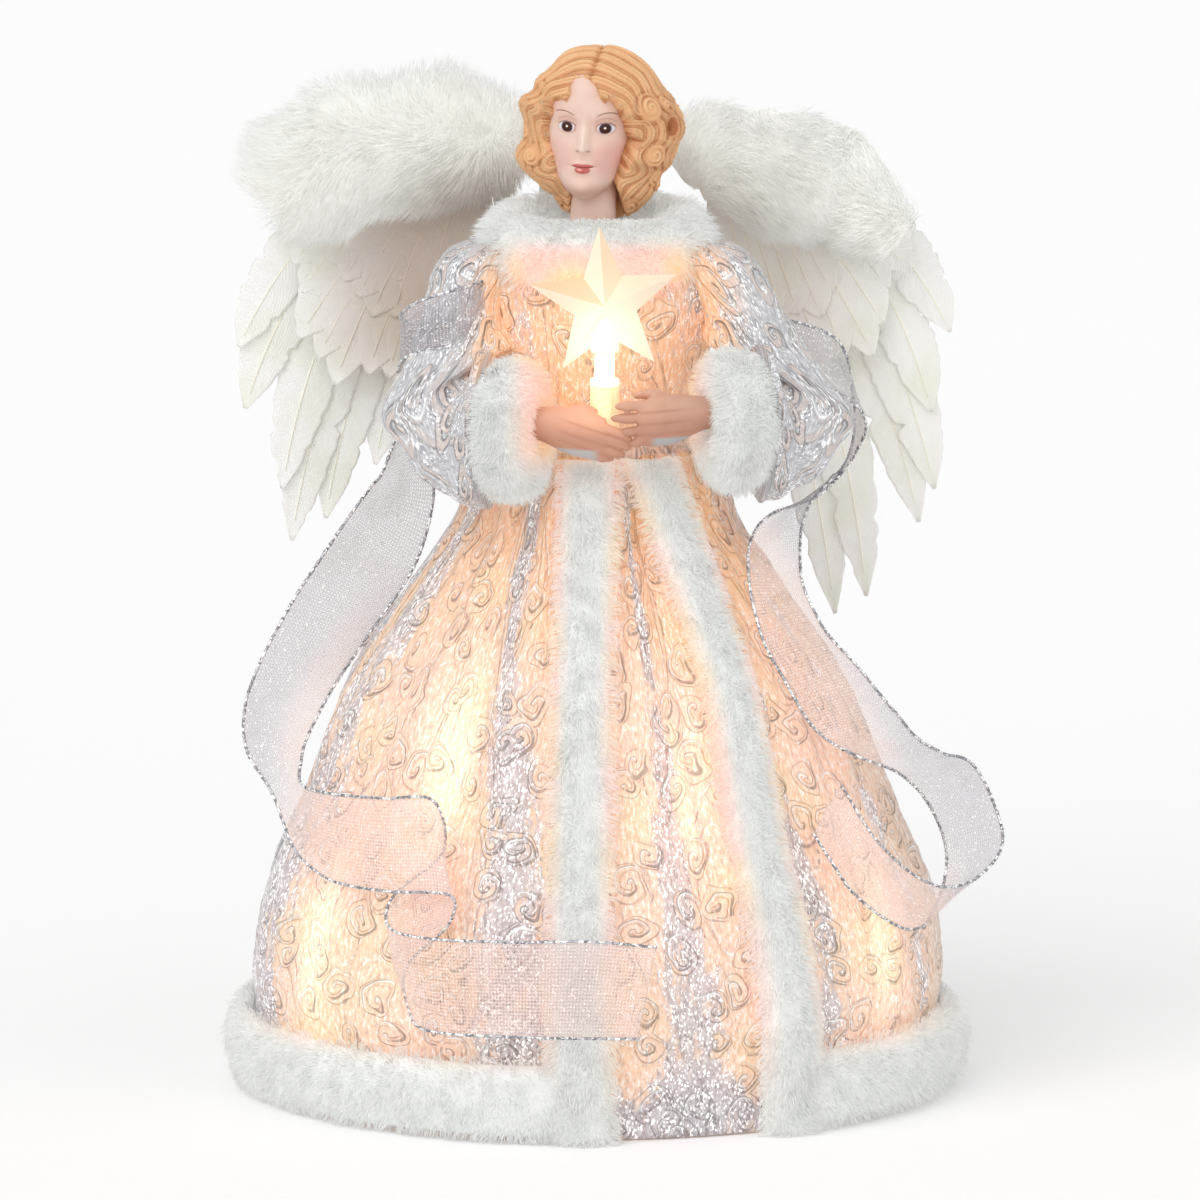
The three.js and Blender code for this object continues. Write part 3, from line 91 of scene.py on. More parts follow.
def through(rows: Sequence[Sequence[float]], places: np.ndarray | float) -> np.ndarray:
    """A smooth curve through a table of places and values.

    Each stretch is a cubic whose slope at a row is the slope between the rows on both sides of it.

    Args:
        rows: A key, then one or more values, in each row.
        places: Keys at which the curve is wanted.

    Returns:
        The values, with a last axis where a row has several.
    """
    table = np.asarray(rows, float)
    keys, values = table[:, 0], table[:, 1:]
    last = len(keys) - 1
    order = np.arange(last + 1)
    before, after = np.maximum(order - 1, 0), np.minimum(order + 1, last)
    slopes = (values[after] - values[before]) / (keys[after] - keys[before])[:, None]
    places = np.asarray(places, float)
    row = np.clip(np.searchsorted(keys, places, side="left") - 1, 0, last - 1)
    span = (keys[row + 1] - keys[row])[..., None]
    t = np.clip((places[..., None] - keys[row][..., None]) / span, 0, 1)
    value = ((2 * t**3 - 3 * t**2 + 1) * values[row] + (3 * t**2 - 2 * t**3) * values[row + 1]
             + (t**3 - 2 * t**2 + t) * slopes[row] * span + (t**3 - t**2) * slopes[row + 1] * span)
    return value[..., 0] if values.shape[1] == 1 else value


def chance(cell: np.ndarray, seed: int) -> np.ndarray:
    """A fixed random number of 0 to 1 for each whole-number place, from its parts and large odd factors.

    Args:
        cell: Whole-number places.
        seed: Picks another set of random numbers.

    Returns:
        A number for each place.
    """
    cell = cell.astype(np.uint32)
    mixed = cell[..., 0] * np.uint32(73856093) ^ cell[..., 1] * np.uint32(19349663)
    mixed = mixed ^ cell[..., 2] * np.uint32(83492791) ^ np.uint32(seed * 9973 + 17)
    mixed = (mixed ^ (mixed >> np.uint32(13))) * np.uint32(1274126177)
    mixed = (mixed ^ (mixed >> np.uint32(15))) * np.uint32(2246822519)
    return ((mixed ^ (mixed >> np.uint32(16))) & np.uint32(0xFFFFFF)).astype(float) / 0xFFFFFF


def ripple(points: np.ndarray, size: float, seed: int = 0) -> np.ndarray:
    """Soft lumps of -1 to 1: random values on a lattice of a given size, blended by 3t^2 - 2t^3 each way.

    Args:
        points: Places in millimetres.
        size: Distance between the lattice's points.
        seed: Picks another set of random numbers.

    Returns:
        A number for each place.
    """
    place = points / size + 1000.0
    cell = np.floor(place).astype(np.int64)
    part = place - cell
    part = part * part * (3 - 2 * part)
    total = np.zeros(points.shape[:-1])
    for corner in range(8):
        side = np.array([corner & 1, corner >> 1 & 1, corner >> 2 & 1])
        weight = np.prod(np.where(side == 1, part, 1 - part), axis=-1)
        total += weight * chance(cell + side, seed)
    return total * 2 - 1


def stack(*parts: np.ndarray | float) -> np.ndarray:
    """Coordinates put side by side as points."""
    return np.stack(np.broadcast_arrays(*parts), axis=-1).astype(float)


def unit(vectors: np.ndarray) -> np.ndarray:
    """Vectors made one long."""
    return vectors / np.maximum(np.linalg.norm(vectors, axis=-1, keepdims=True), 1e-9)


def polar(angle: np.ndarray, radius: np.ndarray, height: np.ndarray) -> np.ndarray:
    """Points at angles in degrees from the front towards +X, at a radius and a height."""
    turn = np.radians(angle)
    return stack(np.sin(turn) * radius, -np.cos(turn) * radius, height)


UP = np.array([0.0, 0.0, 1.0])


def circle(count: int) -> np.ndarray:
    """Angles in radians of points spaced evenly round a circle."""
    return np.arange(count) / count * 2 * np.pi


def spokes(angles: np.ndarray, first: np.ndarray, last: np.ndarray) -> np.ndarray:
    """Arms from a middle: the cosine of each angle along the first direction, and its sine along the last."""
    return np.cos(angles)[..., None] * first + np.sin(angles)[..., None] * last


# Forms: points and faces worked out as whole arrays


@dataclass
class Form:
    """Points in millimetres with faces, a place on the cloth for each point, and named values."""

    points: np.ndarray
    quads: np.ndarray
    tris: np.ndarray = field(default_factory=lambda: np.zeros((0, 3), int))
    cloth: np.ndarray | None = None
    wrap: float = 0.0
    values: dict[str, np.ndarray] = field(default_factory=dict)

    def outward(self) -> "Form":
        """The same closed form with its faces turned out: a negative volume means that they point in.

        Returns:
            The form itself.
        """
        fans = [self.quads[:, [0, 1, 2]], self.quads[:, [0, 2, 3]], self.tris]
        corners = self.points[np.concatenate(fans)]
        volume = np.einsum("ij,ij->i", corners[:, 0], np.cross(corners[:, 1], corners[:, 2])).sum()
        if volume < 0:
            self.quads, self.tris = self.quads[:, ::-1], self.tris[:, ::-1]
        return self


def mesh_rows(rows: int, columns: int, looped: bool = False, ringed: bool = False) -> np.ndarray:
    """Quads of a grid; looped joins its last column to the first, and ringed its last row to the first.

    Args:
        rows: Rows of points.
        columns: Points in a row.
        looped: Whether the last column meets the first.
        ringed: Whether the last row meets the first.

    Returns:
        The corners of each quad.
    """
    i = np.arange(rows if ringed else rows - 1)[:, None] * columns
    j = np.arange(columns if looped else columns - 1)[None, :]
    k, below = (j + 1) % columns, (i + columns) % (rows * columns)
    return np.stack([i + j, i + k, below + k, below + j], -1).reshape(-1, 4)


def grid_normals(points: np.ndarray, looped: bool = False) -> np.ndarray:
    """Unit normals of a grid: the cross product of its steps along a row and down a column.

    Args:
        points: Rows and columns of points.
        looped: Whether the last column meets the first.

    Returns:
        A unit vector for each point.
    """
    down = np.gradient(points, axis=0)
    along = (np.roll(points, -1, 1) - np.roll(points, 1, 1)) if looped else np.gradient(points, axis=1)
    return unit(np.cross(along, down))


def cloth_shell(points: np.ndarray, thickness: float, cloth: np.ndarray) -> Form:
    """A thin closed sheet: a grid moved half its thickness to each side along its normals, with joined rims.

    Args:
        points: Rows and columns of points of the middle of the sheet.
        thickness: Millimetres.
        cloth: The place of each point on the flat cloth, in millimetres.

    Returns:
        The closed sheet.
    """
    rows, columns = points.shape[:2]
    count = rows * columns
    lift = grid_normals(points) * thickness / 2
    both = np.concatenate([(points + lift).reshape(-1, 3), (points - lift).reshape(-1, 3)])
    face = mesh_rows(rows, columns)
    index = np.arange(count).reshape(rows, columns)
    edge = np.concatenate([index[0], index[1:, -1], index[-1, -2::-1], index[-2::-1, 0]])
    rim = np.stack([edge[1:], edge[:-1], edge[:-1] + count, edge[1:] + count], -1)
    quads = np.concatenate([face, face[:, ::-1] + count, rim])
    return Form(both, quads, cloth=np.tile(cloth.reshape(-1, 2), (2, 1))).outward()


def closed_tube(rings: np.ndarray, cloth: np.ndarray | None = None, wrap: float = 0.0,
                ends: np.ndarray | None = None) -> Form:
    """Rings of points joined into a closed tube with a pole at both ends.

    Args:
        rings: Points by row and place round the ring.
        cloth: The place of each point on the surface, in millimetres.
        wrap: Distance round the ring on that surface, for its seam.
        ends: The two poles; without them, the middles of the end rings.

    Returns:
        The tube.
    """
    rows, around = rings.shape[:2]
    ends = rings[[0, -1]].mean(axis=1) if ends is None else ends
    count = rows * around
    j = np.arange(around)
    k = (j + 1) % around
    first = np.stack([np.full(around, count), k, j], -1)
    last = np.stack([np.full(around, count + 1), j + count - around, k + count - around], -1)
    place = None
    if cloth is not None:
        place = np.concatenate([cloth.reshape(-1, 2), cloth[[0, -1]].mean(axis=1)])
    return Form(np.concatenate([rings.reshape(-1, 3), ends]), mesh_rows(rows, around, True),
                np.concatenate([first, last]), place, wrap).outward()


def cord(path: np.ndarray, radii: np.ndarray, around: int, aside: Sequence[float]) -> Form:
    """A closed tube along a path, with its poles at the path's ends.

    Args:
        path: Places along the middle.
        radii: The radius at each place.
        around: Points in a ring.
        aside: A direction that the path never follows, by which the rings are turned.

    Returns:
        The tube.
    """
    run = unit(np.gradient(path, axis=0))
    side = unit(np.cross(run, np.asarray(aside, float)))
    arms = spokes(circle(around), side[:, None], np.cross(side, run)[:, None])
    return closed_tube(path[:, None] + arms * radii[:, None, None], ends=path[[0, -1]])


def pelt(base: np.ndarray, outward: np.ndarray, count: int, length: float, width: float, comb: np.ndarray,
         seed: int, looped: bool = False, mess: float = 0.35, tuft: float = 5.0) -> Form:
    """Tapered three-sided hairs on a grid: each starts at a random place, weighted by area, and is combed.

    Args:
        base: Grid of points that the hairs grow from.
        outward: Unit direction out of the grid at each point.
        count: Number of hairs.
        length: Mean length in millimetres.
        width: Radius of a hair at its root.
        comb: Direction that the hairs lie towards at each point of the grid.
        seed: Seed of the random numbers.
        looped: Whether the last column meets the first.
        mess: How far single hairs stray from the comb.
        tuft: Size of the tufts that hairs lean together in.

    Returns:
        The hairs, with "tip" from 0 at the root to 1.
    """
    random = np.random.default_rng(seed)
    if looped:
        base, outward, comb = (np.concatenate([a, a[:, :1]], axis=1) for a in (base, outward, comb))
    rows, columns = base.shape[:2]
    faces = mesh_rows(rows, columns)
    flat = base.reshape(-1, 3)
    corner = flat[faces]
    area = np.linalg.norm(np.cross(corner[:, 2] - corner[:, 0], corner[:, 3] - corner[:, 1]), axis=1)
    cell = random.choice(len(faces), count, p=area / area.sum())
    u, v = random.random((2, count, 1))
    weight = np.stack([(1 - u) * (1 - v), u * (1 - v), u * v, (1 - u) * v], axis=1)
    def at(field_values: np.ndarray) -> np.ndarray:
        """The value of a grid field at each root."""
        return (field_values.reshape(-1, 3)[faces[cell]] * weight).sum(axis=1)
    root, out, lean = at(base), unit(at(outward)), at(comb)
    stray = random.normal(size=(count, 3)) * mess
    clump = np.stack([ripple(root, tuft, seed + n) for n in range(3)], -1) * 0.75
    reach = length * (0.75 + 0.5 * random.random(count)) * (1 + 0.18 * ripple(root, tuft * 1.7, seed + 7))
    reach = reach[:, None]
    lean = lean + stray * 0.6 + clump
    middle = root + reach * (0.5 * unit(out + 0.35 * lean))
    tip = middle + reach * 0.5 * unit(0.55 * out + lean)
    root = root - out * 0.6
    for place in (root, middle, tip):
        place[:, 2] = np.maximum(place[:, 2], 0.4)
    side = unit(np.cross(tip - root, random.normal(size=(count, 3))))
    other = unit(np.cross(tip - root, side))
    turn = np.arange(3) / 3 * 2 * np.pi
    spoke = side[:, None] * np.cos(turn)[:, None] + other[:, None] * np.sin(turn)[:, None]
    rings = np.stack([root[:, None] + spoke * width, middle[:, None] + spoke * width * 0.8], axis=1)
    points = np.concatenate([rings.reshape(count, 6, 3), tip[:, None]], axis=1).reshape(-1, 3)
    start = (np.arange(count) * 7)[:, None, None]
    quads = (np.array([[0, 1, 4, 3], [1, 2, 5, 4], [2, 0, 3, 5]])[None] + start).reshape(-1, 4)
    tris = (np.array([[3, 4, 6], [4, 5, 6], [5, 3, 6]])[None] + start).reshape(-1, 3)
    shade = np.tile([0.0, 0, 0, 0.6, 0.6, 0.6, 1], count)
    return Form(points, quads, tris, values={"tip": shade})


class Sculpture:
    """Gathers forms and makes one mesh piece of them, in metres, at the origin."""

    def __init__(self, name: str) -> None:
        """Starts an empty piece of that name."""
        self.name = name
        self.forms: list[tuple[Form, int, bool]] = []

    def add(self, form: Form, finish: int = 0, smooth: bool = True,
            **values: np.ndarray | float) -> "Sculpture":
        """Takes a form, which of the piece's finishes it has, and named values for its points.

        Args:
            form: The form.
            finish: Place of its material in the piece's own list.
            smooth: Whether its faces are shaded smooth.
            **values: Numbers for its points, by name.

        Returns:
            The sculpture itself.
        """
        for name, value in values.items():
            form.values[name] = np.broadcast_to(value, len(form.points))
        self.forms.append((form, finish, smooth))
        return self

    def build(self, wardrobe: "Wardrobe", slot: "Finish", nodes: Sequence[str] = (), body: str = "root",
              looks: Sequence[bpy.types.Material] = ()) -> bpy.types.Object:
        """Writes the mesh and gives the piece its finishes, its body, and the CAD nodes that it stands for.

        Args:
            wardrobe: The finishes.
            slot: The record's material slot.
            nodes: CAD nodes that it replaces.
            body: The body that the piece moves with.
            looks: Materials in the order that the forms name them; without them, the slot's own.

        Returns:
            The piece.
        """
        mesh = bpy.data.meshes.new(self.name)
        forms = [form for form, _, _ in self.forms]
        starts = np.cumsum([0] + [len(form.points) for form in forms])
        corners, totals, kinds, smooths = [], [], [], []
        for (form, finish, smooth), start in zip(self.forms, starts):
            for faces in (form.quads, form.tris):
                corners.append((faces + start).reshape(-1))
                for values, value in ((totals, faces.shape[1]), (kinds, finish), (smooths, smooth)):
                    values.append(np.full(len(faces), value))
        corner, total, kind = (np.concatenate(part).astype(np.int32) for part in (corners, totals, kinds))
        points = np.concatenate([form.points for form in forms]) * METRES
        mesh.vertices.add(len(points))
        mesh.loops.add(len(corner))
        mesh.polygons.add(len(total))
        for layer, name, values in (
                (mesh.vertices, "co", points.astype(np.float32).reshape(-1)),
                (mesh.loops, "vertex_index", corner),
                (mesh.polygons, "loop_start", (np.cumsum(total) - total).astype(np.int32)),
                (mesh.polygons, "loop_total", total),
                (mesh.polygons, "material_index", kind),
                (mesh.polygons, "use_smooth", np.concatenate(smooths))):
            layer.foreach_set(name, values)
        if any(form.cloth is not None for form in forms):
            layer = mesh.uv_layers.new(name="cloth")
            layer.data.foreach_set("uv", self.corner_places().astype(np.float32).reshape(-1))
        put_values(mesh, **{
            name: np.concatenate([form.values.get(name, np.zeros(len(form.points))) for form in forms])
            for name in sorted({name for form in forms for name in form.values})})
        mesh.update(calc_edges=True)
        mesh.validate()
        piece = bpy.data.objects.new(self.name, mesh)
        bpy.context.scene.collection.objects.link(piece)
        for look in looks or [wardrobe.slots[slot]]:
            mesh.materials.append(look)
        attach(piece, body)
        if nodes:
            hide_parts(*nodes)
        report.info("%s: %d points, %d faces, on %s", self.name, len(points), len(total), body)
        return piece

    def corner_places(self) -> np.ndarray:
        """Each face corner's place on the cloth, in metres; the far side of a seam is moved on by the wrap.

        Returns:
            Two numbers for each corner of each face.
        """
        places = []
        for form, _, _ in self.forms:
            cloth = np.zeros((len(form.points), 2)) if form.cloth is None else form.cloth
            for faces in (form.quads, form.tris):
                place = cloth[faces]
                if form.wrap and len(faces):
                    high = place[..., 0].max(axis=1, keepdims=True)
                    place[..., 0] += np.where(place[..., 0] < high - form.wrap / 2, form.wrap, 0)
                places.append(place.reshape(-1, 2))
        return np.concatenate(places) * METRES


def put_values(mesh: bpy.types.Mesh, **values: np.ndarray) -> None:
    """Writes named values on a mesh's points.

    Args:
        mesh: The mesh.
        **values: A number, or one for each point, under each name.
    """
    for name, value in values.items():
        held = mesh.attributes.new(name, "FLOAT", "POINT")
        held.data.foreach_set("value", np.broadcast_to(value, len(mesh.vertices)).astype(np.float32))


def furred(name: str, node: str, forms: Sequence[Form], wardrobe: "Wardrobe",
           glow: Callable[[np.ndarray], np.ndarray]) -> None:
    """Makes a fur piece.

    Args:
        name: Name of the piece.
        node: CAD node that it replaces.
        forms: The soft core and the hairs on it.
        wardrobe: The finishes.
        glow: Gives the light at points.
    """
    sculpture = Sculpture(name)
    for form in forms:
        form.values.setdefault("tip", np.full(len(form.points), 0.25))
        sculpture.add(form, glow=glow(form.points))
    sculpture.build(wardrobe, Finish.FUR, [node])


# Shader helpers


class Signal:
    """A node's output that takes part in sums as a number does."""

    def __init__(self, graph: "Graph", socket: bpy.types.NodeSocket) -> None:
        """Wraps one output socket of the graph."""
        self.graph = graph
        self.socket = socket

    def __add__(self, other: "Value") -> "Signal":
        """The sum."""
        return self.graph.math("ADD", self, other)

    def __sub__(self, other: "Value") -> "Signal":
        """The difference."""
        return self.graph.math("SUBTRACT", self, other)

    def __rsub__(self, other: "Value") -> "Signal":
        """The difference from a number."""
        return self.graph.math("SUBTRACT", other, self)

    def __mul__(self, other: "Value") -> "Signal":
        """The product."""
        return self.graph.math("MULTIPLY", self, other)

    def __truediv__(self, other: "Value") -> "Signal":
        """The quotient."""
        return self.graph.math("DIVIDE", self, other)

    __radd__ = __add__
    __rmul__ = __mul__

    def rise(self, low: float, high: float) -> "Signal":
        """0 at low and 1 at high, with a smooth change between them."""
        sockets = {"Value": self, "From Min": low, "From Max": high}
        return self.graph.signal("ShaderNodeMapRange", {"interpolation_type": "SMOOTHSTEP"}, sockets)

    def fraction(self) -> "Signal":
        """The part after the decimal point."""
        return self.graph.math("FRACT", self)

    def larger(self, other: "Value") -> "Signal":
        """The larger of the two."""
        return self.graph.math("MAXIMUM", self, other)

    def crest(self) -> "Signal":
        """1 halfway through each whole number and 0 at its ends: one less twice the distance from a half."""
        return 1 - self.graph.math("ABSOLUTE", self.fraction() * 2 - 1)

    def clamped(self) -> "Signal":
        """The value held between 0 and 1."""
        return self.graph.signal("ShaderNodeClamp", {}, {0: self})

    def power(self, exponent: float) -> "Signal":
        """The value raised to a power."""
        return self.graph.math("POWER", self, exponent)


Value = Signal | float | tuple


class Graph:
    """The nodes of one finish, or of the world."""

    def __init__(self, name: str, world: bpy.types.World | None = None) -> None:
        """Makes a material of that name, or takes the world, with no nodes yet.

        Args:
            name: Name of a new material.
            world: The world, if its nodes are made instead.
        """
        self.owner = world or bpy.data.materials.new(name)
        self.owner.use_nodes = True
        self.tree = self.owner.node_tree
        self.tree.nodes.clear()

    def node(self, kind: str, settings: Mapping[str, object],
             sockets: Mapping[int | str, Value]) -> bpy.types.Node:
        """Adds any node: its settings, then numbers, colours or signals for its inputs.

        Args:
            kind: Type of the node.
            settings: Its properties.
            sockets: Its inputs, by number or name.

        Returns:
            The node.
        """
        made = self.tree.nodes.new(kind)
        for name, setting in settings.items():
            setattr(made, name, setting)
        for key, value in sockets.items():
            if isinstance(value, Signal):
                self.tree.links.new(value.socket, made.inputs[key])
            else:
                made.inputs[key].default_value = value
        return made

    def signal(self, kind: str, settings: Mapping[str, object], sockets: Mapping[int | str, Value],
               output: int | str = 0) -> Signal:
        """Adds any node and wraps one of its outputs."""
        return Signal(self, self.node(kind, settings, sockets).outputs[output])

    def math(self, operation: str, *values: Value) -> Signal:
        """A Math node on numbers."""
        return self.signal("ShaderNodeMath", {"operation": operation}, dict(enumerate(values)))

    def vector(self, operation: str, *values: Value) -> Signal:
        """A Vector Math node that gives a vector."""
        return self.signal("ShaderNodeVectorMath", {"operation": operation}, dict(enumerate(values)))

    def parts(self, place: Signal) -> list[Signal]:
        """The three parts of a place."""
        return [Signal(self, part) for part in self.node("ShaderNodeSeparateXYZ", {}, {0: place}).outputs]

    def coats(self, colour: Value, *coats: tuple[Value, Value]) -> Signal:
        """A colour with others laid over it in turn: each coat is a share of 0 to 1 and a colour.

        Args:
            colour: The colour below.
            *coats: The shares and colours laid over it.

        Returns:
            The colour on top.
        """
        for share, over in coats:
            colour = self.signal("ShaderNodeMix", {"data_type": "RGBA"}, {0: share, 6: colour, 7: over}, 2)
        return colour

    def tint(self, colour: Value, share: Value) -> Signal:
        """A colour made stronger or weaker by a number."""
        part = colour if isinstance(colour, Signal) else colour[:3]
        return self.signal("ShaderNodeVectorMath", {"operation": "SCALE"}, {0: part, "Scale": share})

    def body_place(self) -> Signal:
        """The place in the piece, in millimetres."""
        return self.stretched(self.signal("ShaderNodeTexCoord", {}, {}, "Object"), *MILLIMETRES)

    def cloth_place(self) -> Signal:
        """The place on the flat cloth, in millimetres."""
        return self.stretched(self.signal("ShaderNodeUVMap", {"uv_map": "cloth"}, {}), *MILLIMETRES)

    def stretched(self, place: Signal, *scale: float) -> Signal:
        """A place with each part multiplied."""
        return self.vector("MULTIPLY", place, scale)

    def value(self, name: str) -> Signal:
        """A value that the mesh holds at its points."""
        return self.signal("ShaderNodeAttribute", {"attribute_name": name}, {}, "Fac")

    def noise(self, place: Signal, size: float, detail: float = 2.0, rough: float = 0.5) -> Signal:
        """Cloudy noise of 0 to 1 with lumps of a size in millimetres."""
        sockets = {"Vector": place, "Scale": 1 / size, "Detail": detail, "Roughness": rough}
        return self.signal("ShaderNodeTexNoise", {}, sockets)

    def specks(self, place: Signal, size: float, flat: bool = False) -> Signal:
        """A random number of 0 to 1 for each grain of a size in millimetres.

        Args:
            place: The place.
            size: Size of a grain.
            flat: Whether the place's third part is left out.

        Returns:
            The number.
        """
        settings = {"voronoi_dimensions": "2D" if flat else "3D"}
        colour = self.signal("ShaderNodeTexVoronoi", settings, {"Vector": place, "Scale": 1 / size}, "Color")
        return self.signal("ShaderNodeSeparateColor", {}, {0: colour})

    def bump(self, height: Signal, depth: float) -> Signal:
        """A surface normal raised by a height of 0 to 1, for a depth in millimetres."""
        return self.signal("ShaderNodeBump", {}, {"Height": height, "Distance": depth * METRES})

    def finish(self, **sockets: Value) -> bpy.types.Material:
        """Ends the material in a Principled shader; underscores in a name stand for spaces.

        Args:
            **sockets: The shader's inputs.

        Returns:
            The material.
        """
        named = {name.replace("_", " "): value for name, value in sockets.items()}
        self.node("ShaderNodeOutputMaterial", {}, {0: self.signal("ShaderNodeBsdfPrincipled", {}, named)})
        return self.owner


# Finishes


class Finish(Enum):
    """The record's material slots."""

    BOARD = "cone_board"
    CARD = "card_tube"
    SOCKET = "socket_white"
    LEAD = "lead_white"
    GLASS = "lamp_glass"
    BROCADE = "brocade"
    SILVER = "silver_cloth"
    FUR = "fur_white"
    HEAD = "head_resin"
    HAND = "hand_resin"
    STAR = "star_acrylic"
    FOAM = "foam"
    ORGANZA = "organza"
    FEATHER = "feather_white"
    DOWN = "down_white"
    WIRE = "steel_wire"


@dataclass(frozen=True)
class Brocade:
    """Crepe woven with silver thread and raised scrolls, lit from behind where "glow" is high, with painted
    shade and glints.
    """

    name: str
    scroll: float = 11.5
    # warm is the cloth where the lamps' light comes through; dark and bright give the silver's painted
    # reflection and glints
    warm: Colour = srgb(240, 209, 184)
    silver: Colour = srgb(200, 197, 202)
    dark: Colour = srgb(158, 154, 162)
    bright: Colour = srgb(255, 255, 255)
    # line is the painted shade along raised edges and in the hollows of the crepe; light and pink are the
    # lamps' light
    line: Colour = srgb(156, 140, 134)
    light: Colour = srgb(255, 212, 152)
    pink: Colour = srgb(255, 196, 174)
    # share of the painted shade along the raised edges
    drawn: float = 0.75

    def material(self) -> bpy.types.Material:
        """Scrolls are spirals in scattered round cells, with a few long stems of noise contours between them.

        Each line has painted shade on the side away from the light and a painted highlight on the other, as
        an embossed one would.

        Returns:
            The material.
        """
        graph = Graph(self.name)
        cloth, glow, silver = graph.cloth_place(), graph.value("glow"), graph.value("silver")

        def long(squash: float) -> Signal:
            """The cloth's place, squashed so that what is drawn on it runs up the cloth."""
            return graph.stretched(cloth, 1.0, squash, 1.0)

        wander = graph.signal("ShaderNodeTexNoise", {}, {"Vector": cloth, "Scale": 0.09, "Detail": 1.0},
                              "Color")
        bent = graph.vector("ADD", cloth, graph.stretched(wander, 9.0, 9.0, 0.0))
        cells = graph.stretched(bent, 1 / self.scroll, 0.8 / self.scroll, 0.0)
        middle = graph.signal("ShaderNodeTexVoronoi", {"voronoi_dimensions": "2D"},
                              {"Vector": cells, "Scale": 1.0, "Randomness": 0.85}, "Position")
        away = graph.vector("SUBTRACT", cells, middle)
        across, up, _ = graph.parts(away)
        reach = graph.signal("ShaderNodeVectorMath", {"operation": "LENGTH"}, {0: away}, "Value")
        turn = graph.math("ARCTAN2", up, across) / (2 * math.pi)
        luck = graph.signal("ShaderNodeTexWhiteNoise", {"noise_dimensions": "2D"}, {"Vector": middle},
                            "Value")
        hand = graph.math("GREATER_THAN", luck, 0.5) * 2 - 1
        coil = (reach * 3.5 + turn * hand + luck * 3).fraction()
        disc = 1 - reach.rise(0.3 + luck * 0.12, 0.34 + luck * 0.12)
        stem = (graph.noise(long(0.3), 15.0, 0.0) * 2.6).crest()
        raised = (coil.crest().rise(0.2, 0.6) * disc).larger(stem.rise(0.74, 0.9) * (1 - disc) * 0.8)
        breaks = graph.noise(long(0.6), 1.5, 1.0)
        edge = ((coil.rise(0.0, 0.08) - coil.rise(0.14, 0.3)) * disc).larger(
            (stem.rise(0.68, 0.73) - stem.rise(0.74, 0.79)) * (1 - disc) * breaks.rise(0.42, 0.58))
        # painted light on the edges: groove is painted shade where an edge faces away from the light, the
        # other a painted highlight where it faces it
        facing = (up - across) / (reach * 1.4 + 0.02) + (breaks - 0.5) * 2.4
        groove, edge_highlight = edge * facing.rise(0.1, -0.8), edge * facing.rise(-0.3, 0.4)
        ribs, crepe = graph.noise(long(0.3), 0.85, 3.0, 0.7), graph.noise(long(0.3), 1.5, 3.0, 0.65)
        crumple = graph.noise(long(0.25), 5.0, 3.0, 0.62)
        grain, thread = graph.specks(long(0.45), 0.34, True), graph.specks(long(0.25), 0.4, True)
        lustre = (silver + (crumple - 0.5) * 2.1 + (crepe - 0.5) * 0.9 - raised * 0.15).rise(0.46, 0.78)
        # white marks painted glints: flecks on the crumpled silver and on the crests of the ribs
        white = (grain.rise(0.66, 0.92) * crumple.rise(0.4, 0.62) * 0.9).larger(ribs.rise(0.52, 0.7) * 0.6)
        # the silver's painted reflection: dark to light by grain, pink where the lamps glow, with the white
        # glints, thread specks, and painted shade in dark grey where "silver" is above 1
        metal = graph.coats(
            self.dark, ((grain * 0.35 + crepe).rise(0.4, 0.85), self.silver),
            (glow.rise(0.1, 0.9) * 0.5, self.pink), (white, self.bright),
            (thread.rise(0.9, 0.96) * 0.6, srgb(118, 108, 110)),
            (silver.rise(1.1, 1.8) * 0.65, srgb(108, 112, 118)))
        # painted lamplight: the cloth turns orange high up where the lamps shine through
        upper_lamp_light = graph.parts(graph.body_place())[2].rise(112, 172) * glow.rise(0.15, 0.5) * 0.55
        # the cloth: warm where the lamps' light comes through, with painted highlights on the crests of the
        # crepe and painted shade in its hollows
        plain = graph.coats(
            self.silver, (glow.rise(0.02, 0.4), self.warm), (upper_lamp_light, srgb(238, 180, 132)),
            (ribs.rise(0.52, 0.62) * 0.7, self.bright), (ribs.rise(0.47, 0.39) * 0.36, self.line),
            (raised * 0.35, self.warm))
        # painted shade and painted highlights along the edges of the scrolls and stems
        colour = graph.coats(plain, (lustre * 0.9, metal), (groove * self.drawn, self.line),
                             (edge_highlight * 0.85, self.bright))
        # the lamps' light through the cloth: less on the silver and in the shaded edges, more on the crests
        # of the crepe
        shine = (1 - lustre * 0.72) * (1 - groove * 0.5) * (ribs * 0.8 + 0.6)
        light = graph.coats(self.pink, (graph.noise(cloth, 34.0, 1.0).rise(0.44, 0.64), self.light),
                            (upper_lamp_light, srgb(255, 178, 104)), (glow.rise(0.7, 1.35), srgb(255, 246, 206)))
        # painted glints on the silver, given out as light
        sparkle = graph.tint(self.bright, lustre * (grain.rise(0.8, 0.93) * 0.5 + 0.06))
        emission = graph.vector("ADD", graph.tint(light, glow * shine * 0.4), sparkle)
        relief = raised * 1.3 + ribs * 0.8 + crumple * 0.7 + grain * 0.15 - edge * 0.5
        return graph.finish(Base_Color=colour, Roughness=0.6 - lustre * 0.25, Metallic=lustre * 0.12,
                            Normal=graph.bump(relief, 0.6), Emission_Color=emission, Emission_Strength=1.0)


